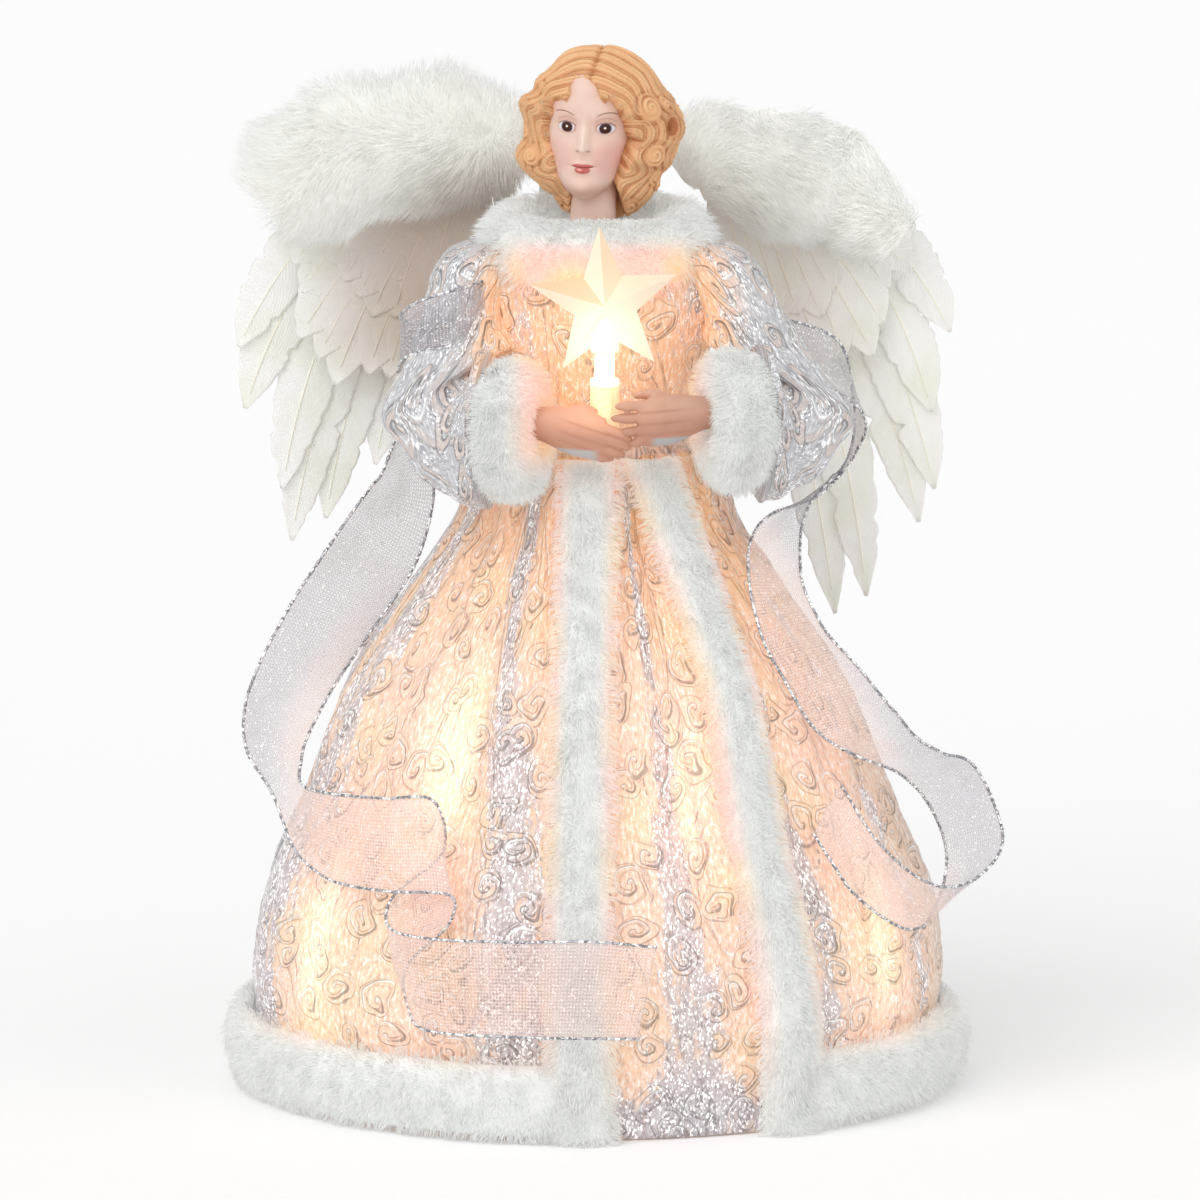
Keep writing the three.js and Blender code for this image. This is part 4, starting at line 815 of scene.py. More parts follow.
@dataclass(frozen=True)
class Fur:
    """White fur or down: painted shade towards the roots, lit warm where "glow" is high."""

    name: str
    tips: Colour = srgb(248, 249, 247)
    # roots is the painted shade deep in the pile; own is the share of the painted glow through it
    roots: Colour = srgb(219, 220, 218)
    light: Colour = srgb(255, 206, 192)
    amber: Colour = srgb(255, 214, 164)
    own: float = 0.17

    def material(self) -> bpy.types.Material:
        """The colour runs from painted shade at the root to the tip, with soft patches; a little painted glow
        stands for light through the pile.

        Returns:
            The material.
        """
        graph = Graph(self.name)
        place = graph.body_place()
        tip, glow, shade = (graph.value(name) for name in ("tip", "glow", "shade"))
        patches = graph.noise(place, 7.0, 2.0)
        lamp = graph.coats(self.light, (graph.noise(place, 22.0, 1.0).rise(0.4, 0.6), self.amber))
        # painted shade towards the roots and where "shade" is high; painted lamplight where "glow" is high
        colour = graph.coats(self.roots, ((tip * 0.7 + patches * 0.4 - 0.05).clamped(), self.tips),
                             (shade, srgb(196, 182, 168)), (glow.rise(0.0, 1.0) * 0.65, lamp))
        painted_pile_glow = graph.tint(colour, (1 - shade * 0.7) * (patches * 0.8 + 0.6) * self.own)
        emission = graph.vector("ADD", painted_pile_glow, graph.tint(lamp, glow * 0.16))
        return graph.finish(Base_Color=colour, Roughness=0.9 - patches * 0.1, Emission_Color=emission,
                            Emission_Strength=1.0)


@dataclass(frozen=True)
class Organza:
    """Sheer ribbon: a square weave of threads with holes between them, and glitter on the threads."""

    name: str
    thread: Colour = srgb(190, 184, 190)
    shade: Colour = srgb(154, 146, 154)
    pitch: float = 0.95

    def material(self) -> bpy.types.Material:
        """Two sets of fine waves make the threads; alpha is high on a thread and low in a hole.

        Returns:
            The material.
        """
        graph = Graph(self.name)
        cloth, near = graph.cloth_place(), graph.value("glow")
        warp, weft = ((part / self.pitch).crest().rise(0.3, 0.75) for part in graph.parts(cloth)[:2])
        threads, knots = warp.larger(weft), warp * weft
        grain, soft = graph.specks(cloth, 0.5, True), graph.noise(cloth, 16.0, 2.0)
        sparkle = grain.rise(0.9, 0.97)
        # painted glints on the glitter and painted highlights where threads cross; painted lamplight where
        # the robe's glow is behind
        colour = graph.coats(self.shade, (soft.rise(0.35, 0.65), self.thread),
                             ((sparkle * threads + knots * 0.5).clamped(), srgb(255, 255, 255)),
                             (near.rise(0.05, 0.6) * 0.75, srgb(238, 210, 198)))
        alpha = (0.05 + threads * 0.25 + knots * 0.16 + sparkle * 0.3 + soft.rise(0.4, 0.65) * 0.14).clamped()
        light = graph.tint(colour, knots * 0.05 + near * 0.3 + 0.03)
        return graph.finish(Base_Color=colour, Roughness=0.5 + soft * 0.1, Metallic=sparkle * 0.4,
                            Alpha=alpha, Normal=graph.bump(threads * 0.6 + grain * 0.3, 0.1),
                            Emission_Color=light, Emission_Strength=1.0)


@dataclass(frozen=True)
class Grained:
    """A plain made material with fine grain, cloudy variation and small bumps."""

    name: str
    light: Colour
    dark: Colour
    size: float = 1.2
    rough: float = 0.5
    metal: float = 0.0
    depth: float = 0.05
    stretch: tuple[float, float, float] = (1.0, 1.0, 1.0)
    glow: float = 0.0

    def material(self) -> bpy.types.Material:
        """Two sizes of noise vary the colour, the roughness and the bump.

        Returns:
            The material.
        """
        graph = Graph(self.name)
        place = graph.stretched(graph.body_place(), *self.stretch)
        fine, broad = graph.noise(place, self.size, 4.0, 0.6), graph.noise(place, self.size * 14, 2.0)
        colour = graph.coats(self.dark, ((fine * 0.6 + broad * 0.5).rise(0.3, 0.8), self.light))
        emission = graph.tint(colour, 0.7 + fine * 0.6)
        return graph.finish(Base_Color=colour, Roughness=self.rough - 0.1 + fine * 0.2, Metallic=self.metal,
                            Normal=graph.bump(fine, self.depth), Emission_Color=emission,
                            Emission_Strength=self.glow)


@dataclass(frozen=True)
class Beads:
    """The wired ribbon edge: metal thread wound in dark and bright grains, the white ones painted glints."""

    name: str

    def material(self) -> bpy.types.Material:
        """Random grains of silver and dark thread.

        Returns:
            The material.
        """
        graph = Graph(self.name)
        grain = graph.specks(graph.body_place(), 0.75)
        # grey and silver grains of thread, and white painted glints
        colour = graph.coats(srgb(132, 132, 138), (grain.rise(0.15, 0.5), srgb(190, 190, 195)),
                             (grain.rise(0.6, 0.75), srgb(255, 255, 255)))
        return graph.finish(Base_Color=colour, Metallic=0.4, Roughness=0.5 - grain * 0.2,
                            Normal=graph.bump(grain, 0.3))


@dataclass(frozen=True)
class CastHair:
    """Painted resin curls: lighter on the ridges, browner in the grooves."""

    name: str
    ridge: Colour = srgb(246, 212, 166)
    middle: Colour = srgb(230, 176, 128)
    groove: Colour = srgb(176, 108, 62)

    def material(self) -> bpy.types.Material:
        """"ridge" runs from 0 in a groove to 1 on a ridge.

        Returns:
            The material.
        """
        graph = Graph(self.name)
        place = graph.body_place()
        cloud, grit = graph.noise(place, 5.0, 2.0), graph.noise(place, 0.7, 2.0)
        rise = (graph.value("ridge") + (cloud - 0.5) * 0.3 + (grit - 0.5) * 0.25).clamped()
        colour = graph.coats(self.groove, (rise.rise(0.0, 0.5), self.middle),
                             (rise.rise(0.5, 1.0), self.ridge))
        return graph.finish(Base_Color=colour, Roughness=0.62 + cloud * 0.1, Normal=graph.bump(grit, 0.08))


@dataclass(frozen=True)
class CastSkin:
    """Painted resin skin, with the eyes, the brows, the lips and the blush painted on, and painted shade and
    highlights.
    """

    name: str
    skin: Colour = srgb(233, 202, 187)
    shade: Colour = srgb(216, 176, 160)
    light: Colour = srgb(255, 206, 150)

    def material(self) -> bpy.types.Material:
        """Each painted feature is a soft-edged shape in the face's own flat place, in millimetres.

        Returns:
            The material.
        """
        graph = Graph(self.name)
        x, z, _ = graph.parts(graph.cloth_place())

        def spot(at_x: float, at_z: float, wide: float, tall: float, soft: float = 0.25) -> Signal:
            """A filled oval with a soft edge."""
            away = ((x - at_x) / wide).power(2) + ((z - at_z) / tall).power(2)
            return 1 - away.rise(1 - soft, 1 + soft)

        def stroke(at_x: float, at_z: float, half: float, bend: float, thick: float,
                   tilt: float = 0.0) -> Signal:
            """A bent line: a parabola over a width, thinning to its ends.

            Args:
                at_x: Its middle across.
                at_z: Its middle's height.
                half: Half its width.
                bend: How far its ends drop.
                thick: Half its thickness.
                tilt: Rise to one side.

            Returns:
                The share of paint.
            """
            share = (x - at_x) / half
            rise = z - at_z - share * tilt + share * share * bend
            near = 1 - graph.math("ABSOLUTE", rise).rise(thick * 0.4, thick)
            return near * (1 - graph.math("ABSOLUTE", share).rise(0.75, 1.05))

        cloud = graph.noise(graph.body_place(), 6.0, 2.0)
        cheeks = spot(7.4, 9.6, 4.4, 5.0, 0.95).larger(spot(-7.4, 10.4, 4.4, 4.6, 0.95) * 0.6)
        # darker in soft random patches; painted blush; a painted highlight down the nose
        colour = graph.coats(self.skin, (cloud.rise(0.3, 0.8) * 0.35, self.shade),
                             (cheeks * 0.38, srgb(220, 140, 138)),
                             (spot(0.0, 16.0, 1.3, 4.6, 0.9) * 0.5, srgb(250, 228, 208)))
        dark = spot(-5.15, 18.97, 1.6, 1.5, 0.2).larger(spot(5.95, 18.97, 1.6, 1.5, 0.2))
        dark = dark * (1 - spot(-5.2, 19.15, 0.42, 0.42).larger(spot(5.9, 19.15, 0.42, 0.42)))
        for side in (-1, 1):
            at_x, at_z = side * 5.55 + 0.4, 19.0
            # each eye: white, iris and pupil, and a painted highlight on the pupil
            eye = graph.coats(
                srgb(206, 146, 138), (spot(at_x + side * 0.2, at_z, 2.5, 1.6, 0.25), srgb(232, 230, 234)),
                (spot(at_x, at_z, 1.75, 1.6, 0.15), srgb(44, 74, 104)),
                (spot(at_x, at_z - 0.05, 1.4, 1.4, 0.25), srgb(10, 12, 20)),
                (spot(at_x - 0.05, at_z + 0.15, 0.34, 0.34, 0.3), srgb(255, 255, 255)))
            # painted shade in the socket above each eye and along the lid's crease; the lash line, a faint
            # line under the eye, the brow and a darker dot at each nostril
            colour = graph.coats(
                colour, (spot(at_x, at_z + 1.9, 3.5, 1.8, 0.8) * 0.3, srgb(196, 142, 128)),
                (spot(at_x, at_z, 2.8, 1.5, 0.12), eye),
                (stroke(at_x, at_z + 1.6, 3.0, 1.25, 0.3) * 0.7, srgb(110, 72, 64)),
                (stroke(at_x, at_z - 1.5, 2.4, -0.9, 0.22) * 0.35, srgb(180, 124, 112)),
                (stroke(at_x, at_z + 2.9, 3.1, 1.0, 0.34) * 0.35, srgb(184, 130, 112)),
                (stroke(side * 6.2 + 0.2, 23.6, 3.2, 1.0, 0.28, side * 0.3) * 0.8, srgb(140, 92, 70)),
                (spot(side * 1.55, 12.4, 0.62, 0.36, 0.6) * 0.5, srgb(150, 92, 74)))
        upper = spot(-0.95, 7.95, 2.1, 0.6, 0.35).larger(spot(0.95, 7.95, 2.1, 0.6, 0.35))
        # the lips, a painted highlight on the lower lip, the line of the mouth, painted shade in the recesses
        # and a grey band along each hand's lower edge
        colour = graph.coats(
            colour, (upper.larger(spot(0.0, 6.75, 2.3, 1.15, 0.25)) * 0.92, srgb(196, 88, 82)),
            (spot(-0.8, 6.9, 0.7, 0.4, 0.8) * 0.6, srgb(246, 190, 178)),
            (stroke(0.0, 7.5, 3.6, -0.45, 0.24) * 0.75, srgb(132, 54, 48)),
            (graph.value("recess") * 0.6, srgb(168, 108, 84)), (graph.value("lining"), srgb(178, 176, 178)))
        emission = graph.vector("MULTIPLY", graph.tint(self.light, graph.value("glow")), colour)
        return graph.finish(Base_Color=colour, Roughness=0.46 + cloud * 0.1, Metallic=dark,
                            Emission_Color=emission, Emission_Strength=0.5)


@dataclass(frozen=True)
class Plume:
    """A white feather: fine barbs at a slant from the quill, tinted where they are old, with painted shade
    and glow.
    """

    name: str
    white: Colour = srgb(249, 249, 246)
    tint: Colour = srgb(234, 236, 218)
    shade: Colour = srgb(218, 213, 204)

    def material(self) -> bpy.types.Material:
        """Barbs are waves at a slant on each side of the quill; "quill" is 1 on it.

        Returns:
            The material.
        """
        graph = Graph(self.name)
        cloth = graph.cloth_place()
        aside, along, _ = graph.parts(cloth)
        stray, cloud = graph.noise(cloth, 3.0, 2.0), graph.noise(graph.body_place(), 16.0, 2.0)
        barbs = ((along - graph.math("ABSOLUTE", aside) * 1.3 + stray * 0.9) / 0.75).crest()
        quill = graph.value("quill")
        # painted shade towards the root and, by "near", over the inner wing; a faint painted glow lifts the
        # white
        colour = graph.coats(
            self.white, ((cloud.rise(0.42, 0.72) * 0.6).clamped(), self.tint),
            (barbs.rise(0.55, 1.0) * 0.32, self.shade), (graph.value("root") * 0.45, srgb(210, 198, 184)),
            (quill * 0.4, srgb(228, 218, 190)), (graph.value("near"), srgb(190, 170, 156)))
        height = barbs * 0.5 + quill * 0.8 + stray * 0.3
        return graph.finish(Base_Color=colour, Roughness=0.6 + barbs * 0.15, Normal=graph.bump(height, 0.25),
                            Emission_Color=graph.tint(colour, 0.6 + cloud * 0.4), Emission_Strength=0.14)


@dataclass(frozen=True)
class LitAcrylic:
    """Clear moulded acrylic lit from inside: "lit" is 1 beside the lamp."""

    name: str

    def material(self) -> bpy.types.Material:
        """The glow grows towards the lamp, and each face gets a painted shade of its own, as its angle to the
        light would give.

        Returns:
            The material.
        """
        graph = Graph(self.name)
        lit, facet = graph.value("lit"), graph.value("facet")
        cloud = graph.noise(graph.body_place(), 5.0, 2.0)
        # darker, amber faces and less glow where a face's painted shade is high
        colour = graph.coats(srgb(243, 230, 208), (facet, srgb(232, 188, 142)))
        warm = graph.coats(srgb(255, 214, 160), (lit.rise(0.0, 0.8), srgb(255, 246, 214)))
        emission = graph.tint(warm, 0.08 + lit * 0.5 - facet * 0.06 + cloud * 0.06)
        return graph.finish(Base_Color=colour, Roughness=0.1 + cloud * 0.08, Emission_Color=emission,
                            Emission_Strength=0.9, Coat_Weight=0.3 + cloud * 0.1, IOR=1.49)


class Wardrobe:
    """Every finish of the object, made once."""

    def __init__(self) -> None:
        """Makes the materials in the order of the record's slots, then those of single pieces."""
        slots = {
            Finish.BOARD: Grained("moulded_board", srgb(226, 218, 204), srgb(196, 184, 166), 2.0, 0.75, 0.0,
                                  0.15),
            Finish.CARD: Grained("wound_card", srgb(206, 186, 156), srgb(176, 152, 122), 1.5, 0.8, 0.0, 0.1,
                                 (1.0, 1.0, 3.0)),
            Finish.SOCKET: Grained("socket_plastic", srgb(240, 240, 236), srgb(222, 222, 216), 1.0, 0.4),
            Finish.LEAD: Grained("lead_sheath", srgb(238, 238, 234), srgb(214, 214, 208), 0.8, 0.45),
            Finish.GLASS: Grained("lit_lamp_glass", srgb(255, 244, 214), srgb(255, 226, 170), 2.0, 0.1, 0.0,
                                  0.01, glow=1.1),
            Finish.BROCADE: Brocade("robe_brocade"),
            # the lamé's dark colour is its painted reflection, and its line colour the painted shade of its
            # edges
            Finish.SILVER: Brocade("sleeve_lame", 13.0, srgb(240, 208, 184), srgb(204, 204, 208),
                                   srgb(136, 137, 144), line=srgb(136, 132, 134)),
            Finish.FUR: Fur("white_fur"),
            Finish.HEAD: CastSkin("painted_head_resin"),
            Finish.HAND: CastSkin("painted_hand_resin", srgb(208, 162, 140), srgb(186, 136, 114)),
            Finish.STAR: LitAcrylic("lit_star_acrylic"),
            Finish.FOAM: Grained("torso_foam", srgb(238, 236, 230), srgb(214, 210, 202), 1.4, 0.9, 0.0, 0.4),
            Finish.ORGANZA: Organza("sheer_organza"),
            Finish.FEATHER: Plume("white_feather"),
            # the down's second colour is the painted shade at the roots
            Finish.DOWN: Fur("white_down", srgb(247, 247, 244), srgb(233, 233, 228), own=0.21),
            Finish.WIRE: Grained("bright_wire", srgb(196, 198, 200), srgb(150, 152, 156), 0.6, 0.35, 0.9,
                                 0.02, (1.0, 1.0, 0.2)),
        }
        self.slots = {slot: look.material() for slot, look in slots.items()}
        self.hair = CastHair("painted_hair_resin").material()
        holder = Grained("lit_star_holder", srgb(255, 240, 198), srgb(250, 222, 164), glow=0.4)
        self.holder = holder.material()
        self.beads = Beads("beaded_ribbon_edge").material()

    def dress_frame(self) -> None:
        """Gives each CAD node the finish of its own slot."""
        by_slot = {slot.value: material for slot, material in self.slots.items()}
        names = {material["slot"] for material in frame["record"]["materials"]}
        for node in frame["nodes"].values():
            for place in node.material_slots:
                name = place.material.name.split(".")[0]
                if name not in names:
                    report.warning("%s has a slot of another name: %s", node.name, name)
                look = self.holder if node.name == "star_holder" else by_slot.get(name, by_slot["cone_board"])
                place.material = look


# The drape of the robe, shared by all that hangs on it


@dataclass(frozen=True)
class Drape:
    """Sizes of the hanging cloth, the same as the model's, and where its light comes through."""

    top: float = 174.0
    crest: float = 188.0
    hem: float = 3.0
    hem_radius: float = 98.0
    waist_radius: float = 37.7
    opening: tuple[float, float] = (-2.5, 32.5)
    thickness: float = 1.2
    gap: float = 0.9
    flare: tuple = ((0, 0.985), (0.05, 1), (0.145, 1.033), (0.2, 1.055), (0.34, 0.985), (0.49, 0.805),
                    (0.68, 0.585), (0.86, 0.235), (0.95, 0.06), (1, 0))
    fold: tuple = ((0, 0.15), (0.12, 0.35), (0.3, 0.9), (0.55, 1), (0.8, 0.8), (1, 0.3))
    pleats: tuple = ((-19, 6), (47, 5), (-74, 6))
    lamps: tuple = ((-148, 0.42), (-56, 0.32), (-33, 0.66), (18, 0.6), (56, 0.34), (148, 0.42))

    @staticmethod
    def away(angle: np.ndarray, middle: float) -> np.ndarray:
        """Degrees from a middle angle, of -180 to 180."""
        return (angle - middle + 180) % 360 - 180

    def radius(self, angle: np.ndarray, height: np.ndarray) -> np.ndarray:
        """The plain flare less the folds' waves, raised at the pleats; an oval over the bodice's foot.

        Args:
            angle: Degrees from the front.
            height: Height in millimetres.

        Returns:
            The radius at each place.
        """
        share = np.clip(height / self.top, 0, 1)
        plain = lerp(self.waist_radius, self.hem_radius, through(self.flare, share))
        over = soft_step(self.top, self.top + 3, height)
        wide, deep = 36.8 - 0.24 * (height - self.top), 37.2 - 0.66 * (height - self.top)
        oval = 1 / np.hypot(np.sin(np.radians(angle)) / wide, np.cos(np.radians(angle)) / deep)
        plain = lerp(plain, oval + 1.2, over)
        turn = np.radians(angle)
        sway = np.sin(13 * turn + 0.8 * np.sin(2 * turn))
        pleat = sum(bell(self.away(angle, middle), spread) for middle, spread in self.pleats)
        return plain + through(self.fold, share) * (2.4 * (0.5 * sway - 0.5) + 1.8 * pleat)

    def place(self, angle: np.ndarray, height: np.ndarray, lift: np.ndarray | float) -> np.ndarray:
        """Points lifted off the cloth."""
        return polar(angle, self.radius(angle, height) + lift, height)

    def glow(self, angle: np.ndarray, height: np.ndarray) -> np.ndarray:
        """Light through the cloth: an even part, and a bell round each lamp behind it.

        Args:
            angle: Degrees from the front.
            height: Height in millimetres.

        Returns:
            The light at each place.
        """
        radius = self.radius(angle, height)
        total = 0.5 + 0.12 * bell(height - 120, 60)
        for middle, share in self.lamps:
            across = np.radians(self.away(angle, middle)) * radius
            total = total + 0.7 * np.exp(-((across / 11) ** 2) - ((height - share * 158) / 30) ** 2)
        edge = soft_step(96, 60, np.abs(self.away(angle, 0)))
        return total * (0.25 + 0.75 * edge)


DRAPE = Drape()


def glow_from_star(points: np.ndarray, reach: float = 34.0) -> np.ndarray:
    """Warm light on what stands round the star: a bell of the distance from the star's middle."""
    middle = np.array([2.5, -40.0, 232.0])
    return bell(np.linalg.norm(points - middle, axis=-1), reach)


@dataclass
class Robe:
    """The skirt, its front panel, and the fur along the opening and the hem."""

    wardrobe: Wardrobe
    fur_strip_width: float = 17.5
    fur_strip_body: float = 6.5
    hair_length: float = 4.2
    sheet_height: float = 0.186
    hem_share: float = 0.100
    waist_share: float = 0.052
    creases: tuple = (
        ([[0, -21], [0.5, -24], [1.1, -33]], 1.0), ([[0, -47], [0.5, -45], [1.1, -46]], 0.7),
        ([[0, 51], [0.4, 54], [1.1, 57]], 0.9), ([[0, 26], [0.5, 22], [1.1, 18]], 0.6))
    streaks: tuple = (
        ([[0, -15], [0.3, -14], [0.6, -18], [0.9, -28], [1.1, -30]],
         [[0, 8], [0.4, 7.5], [0.8, 4.5], [1.1, 4]], 0.85),
        ([[0, 17], [0.3, 16], [0.7, 14.5], [1.1, 14]], [[0, 8], [0.3, 6], [0.6, 2.6], [1.1, 2]], 0.8),
        ([[0, 38], [0.3, 43], [0.6, 37.5], [0.9, 44], [1.1, 46]], [[0, 3.5], [0.5, 4.5], [1.1, 3]], 0.8),
        ([[0, -74], [0.5, -71], [1.1, -66]], [[0, 9], [1.1, 6]], 0.75),
        ([[0, -90], [1.1, -88]], [[0, 9], [0.4, 8], [0.6, 3], [1.1, 2]], 0.9),
        ([[0, 74], [1.1, 66]], [[0, 5], [1.1, 6]], 0.5))

    def sheet(self, name: str, first: float, last: float, columns: int, sunk: float) -> None:
        """A standing sheet of brocade over a span of angles, puckered, creased and crumpled.

        Args:
            name: Name of the piece.
            first: First angle in degrees.
            last: Last angle.
            columns: Points across the sheet.
            sunk: Distance behind the robe's outer face, above 0 for the front panel.
        """
        levels = lerp(0.6 if sunk else DRAPE.hem, DRAPE.crest, np.linspace(0, 1, 100))
        angle, height = np.meshgrid(np.linspace(first, last, columns), levels)
        base = DRAPE.place(angle, height, -sunk)
        rise = height / DRAPE.top
        fine = 13 * np.radians(angle) * 2.3 + 0.7 * np.sin(height / 26 + angle / 9)
        pucker = np.sin(fine) * 0.9 * soft_step(0.1, 0.9, rise) + 0.5 * ripple(base * [1, 1, 0.4], 7.0, 3)
        crumple = 0.35 * ripple(base, 3.2, 5) + 0.25 * ripple(base * [1, 1, 0.5], 1.9, 6)
        quiet = soft_step(0.0, 0.06, rise) * soft_step(188, 183, height)
        quiet = quiet * soft_step(0.0, 3.0, np.minimum(angle - first, last - angle))
        crease = sum(deep * bell(DRAPE.away(angle, through(path, rise)), 1.15) for path, deep in self.creases)
        crease = crease * soft_step(0.02, 0.3, rise)
        lift = (pucker - 0.9 * crease + crumple) * quiet - DRAPE.thickness / 2 - 0.25
        face = base + unit(base * [1, 1, 0]) * lift[..., None]
        form = cloth_shell(face, 1.0, stack(np.radians(angle) * 78.0, height * 1.06))
        streak = sum(share * bell(DRAPE.away(angle, through(path, rise)), through(wide, rise))
                     for path, wide, share in self.streaks)
        flank = soft_step(74, 100, np.abs(DRAPE.away(angle, 0)))
        hem = bell(height - 6, 9) if sunk else 0.0
        # painted shade: a dark grey strip down the lower far-left flank, carried by "silver" above 1; it also
        # dims the glow
        shaded_flank = bell(DRAPE.away(angle, -93), 11) * soft_step(0.62, 0.48, rise)
        silver = np.clip(0.14 + streak + 0.5 * flank + 0.7 * hem, 0, 1) + shaded_flank
        dull = np.clip(streak + 0.9 * crease + shaded_flank, 0, 1)
        glow = DRAPE.glow(angle, height) * (1 - 0.5 * dull) * (1 - 0.55 * hem)
        silver, glow = (np.tile(values.reshape(-1), 2) for values in (silver, glow))
        piece = Sculpture(name).add(form, silver=silver, glow=glow).build(
            self.wardrobe, Finish.BROCADE, [name.replace("_cloth", "")])

    def fur(self, name: str, base: np.ndarray, comb: np.ndarray, hairs: int, seed: int,
            rim: Callable[[np.ndarray, np.ndarray], np.ndarray]) -> None:
        """A roll of fur: a soft closed body under the hairs, lit at its edges.

        Args:
            name: CAD node that it replaces.
            base: Grid of the roll's outer face.
            comb: Direction that the hairs lie towards.
            hairs: Number of hairs.
            seed: Seed of the hairs.
            rim: Gives how near an edge a place is, from its angle and height.
        """
        normal = grid_normals(base)
        if (normal * (base * [1, 1, 0])).sum() < 0:
            normal = -normal
        inner = 3.0
        body = cloth_shell(base - normal * inner / 2, inner, np.zeros(base.shape[:2] + (2,)))
        coat = pelt(base, normal, hairs, self.hair_length, 0.15, comb, seed, mess=0.2, tuft=4.0)

        def glow(points: np.ndarray) -> np.ndarray:
            """Light of the lamps at the roll's edges, and of the star."""
            x, y, height = points.T
            angle = np.degrees(np.arctan2(x, -y))
            light = 0.85 * DRAPE.glow(angle, height) * rim(angle, height) * soft_step(-8, 40, height)
            return light + glow_from_star(points, 30) * 0.5

        furred(name + "_coat", name, (body, coat), self.wardrobe, glow)

    def strip(self, name: str, middle: np.ndarray, seed: int) -> None:
        """Fur that climbs an edge of the opening: a low arch across, following the cloth upwards.

        Args:
            name: CAD node that it replaces.
            middle: Angle of the strip's middle in degrees, from the hem to the crest.
            seed: Seed of the hairs.
        """
        share = np.linspace(0, 1, 80)[:, None]
        height = lerp(0.6, DRAPE.crest, share)
        aside = np.linspace(-1, 1, 14)[None, :]
        half = self.fur_strip_width / 2 * lerp(1.0, 0.82, share)
        body = self.fur_strip_body * lerp(0.9, 0.6, share)
        radius = DRAPE.radius(np.zeros_like(height), height)
        angle = middle[:, None] + np.degrees(aside * half / radius)
        swell = 1 + 0.12 * ripple(stack(height * aside, height, 0), 9, seed)
        lift = DRAPE.gap + body * (1 - aside**2) ** 0.5 * swell
        base = DRAPE.place(angle, np.broadcast_to(height, angle.shape), lift)
        comb = -0.85 * UP + polar(angle + 90, 1.0, 0.0) * aside[..., None] * 0.55
        edges = np.hstack([height, middle[:, None], np.degrees(half / radius)])

        def rim(angle: np.ndarray, height: np.ndarray) -> np.ndarray:
            """0 along the middle of the strip and 1 at both sides."""
            centre, spread = through(edges, height).T
            return soft_step(0.35, 1.1, np.abs(DRAPE.away(angle, centre)) / spread)

        self.fur(name, base, comb, 10500, seed, rim)

    def hem_fur(self) -> None:
        """Fur round the hem: a round roll over the lower edge of the cloth."""
        angle = np.linspace(35.5, 356.5, 260)[None, :]
        turn = np.linspace(-0.28, 1.12, 12)[:, None]
        height = 12.5 + 10.5 * np.sin((turn - 0.5) * np.pi * 0.9)
        lift = 0.6 + 6.2 * np.maximum(np.cos((turn - 0.45) * np.pi * 0.8), 0.02) ** 0.7
        lift = lift * (1 + 0.1 * ripple(stack(angle * 1.6, height, 0), 12, 9))
        angle, height = np.broadcast_arrays(angle, np.maximum(height, 0.8))
        comb = -0.6 * UP + polar(angle + 90, 1.0, 0.0) * 0.18
        self.fur("hem_fur", DRAPE.place(angle, height, lift), comb, 23000, 41,
                 lambda angle, height: soft_step(17.0, 26.0, height))

    def build(self) -> None:
        """Makes every piece of the robe."""
        first, last = DRAPE.opening
        self.sheet("skirt_cloth", last, first + 360, 430, 0.0)
        self.sheet("front_panel_cloth", first - 10, last + 10, 76, 2.1)
        share = np.linspace(0, 1, 80)
        self.strip("front_fur_left", lerp(first, first - 1, share), 21)
        sway = through([[0, 1.06], [0.3, 0.98], [0.55, 0.97], [0.85, 1.04], [1, 0.86]], share)
        self.strip("front_fur_right", last * sway, 22)
        self.hem_fur()


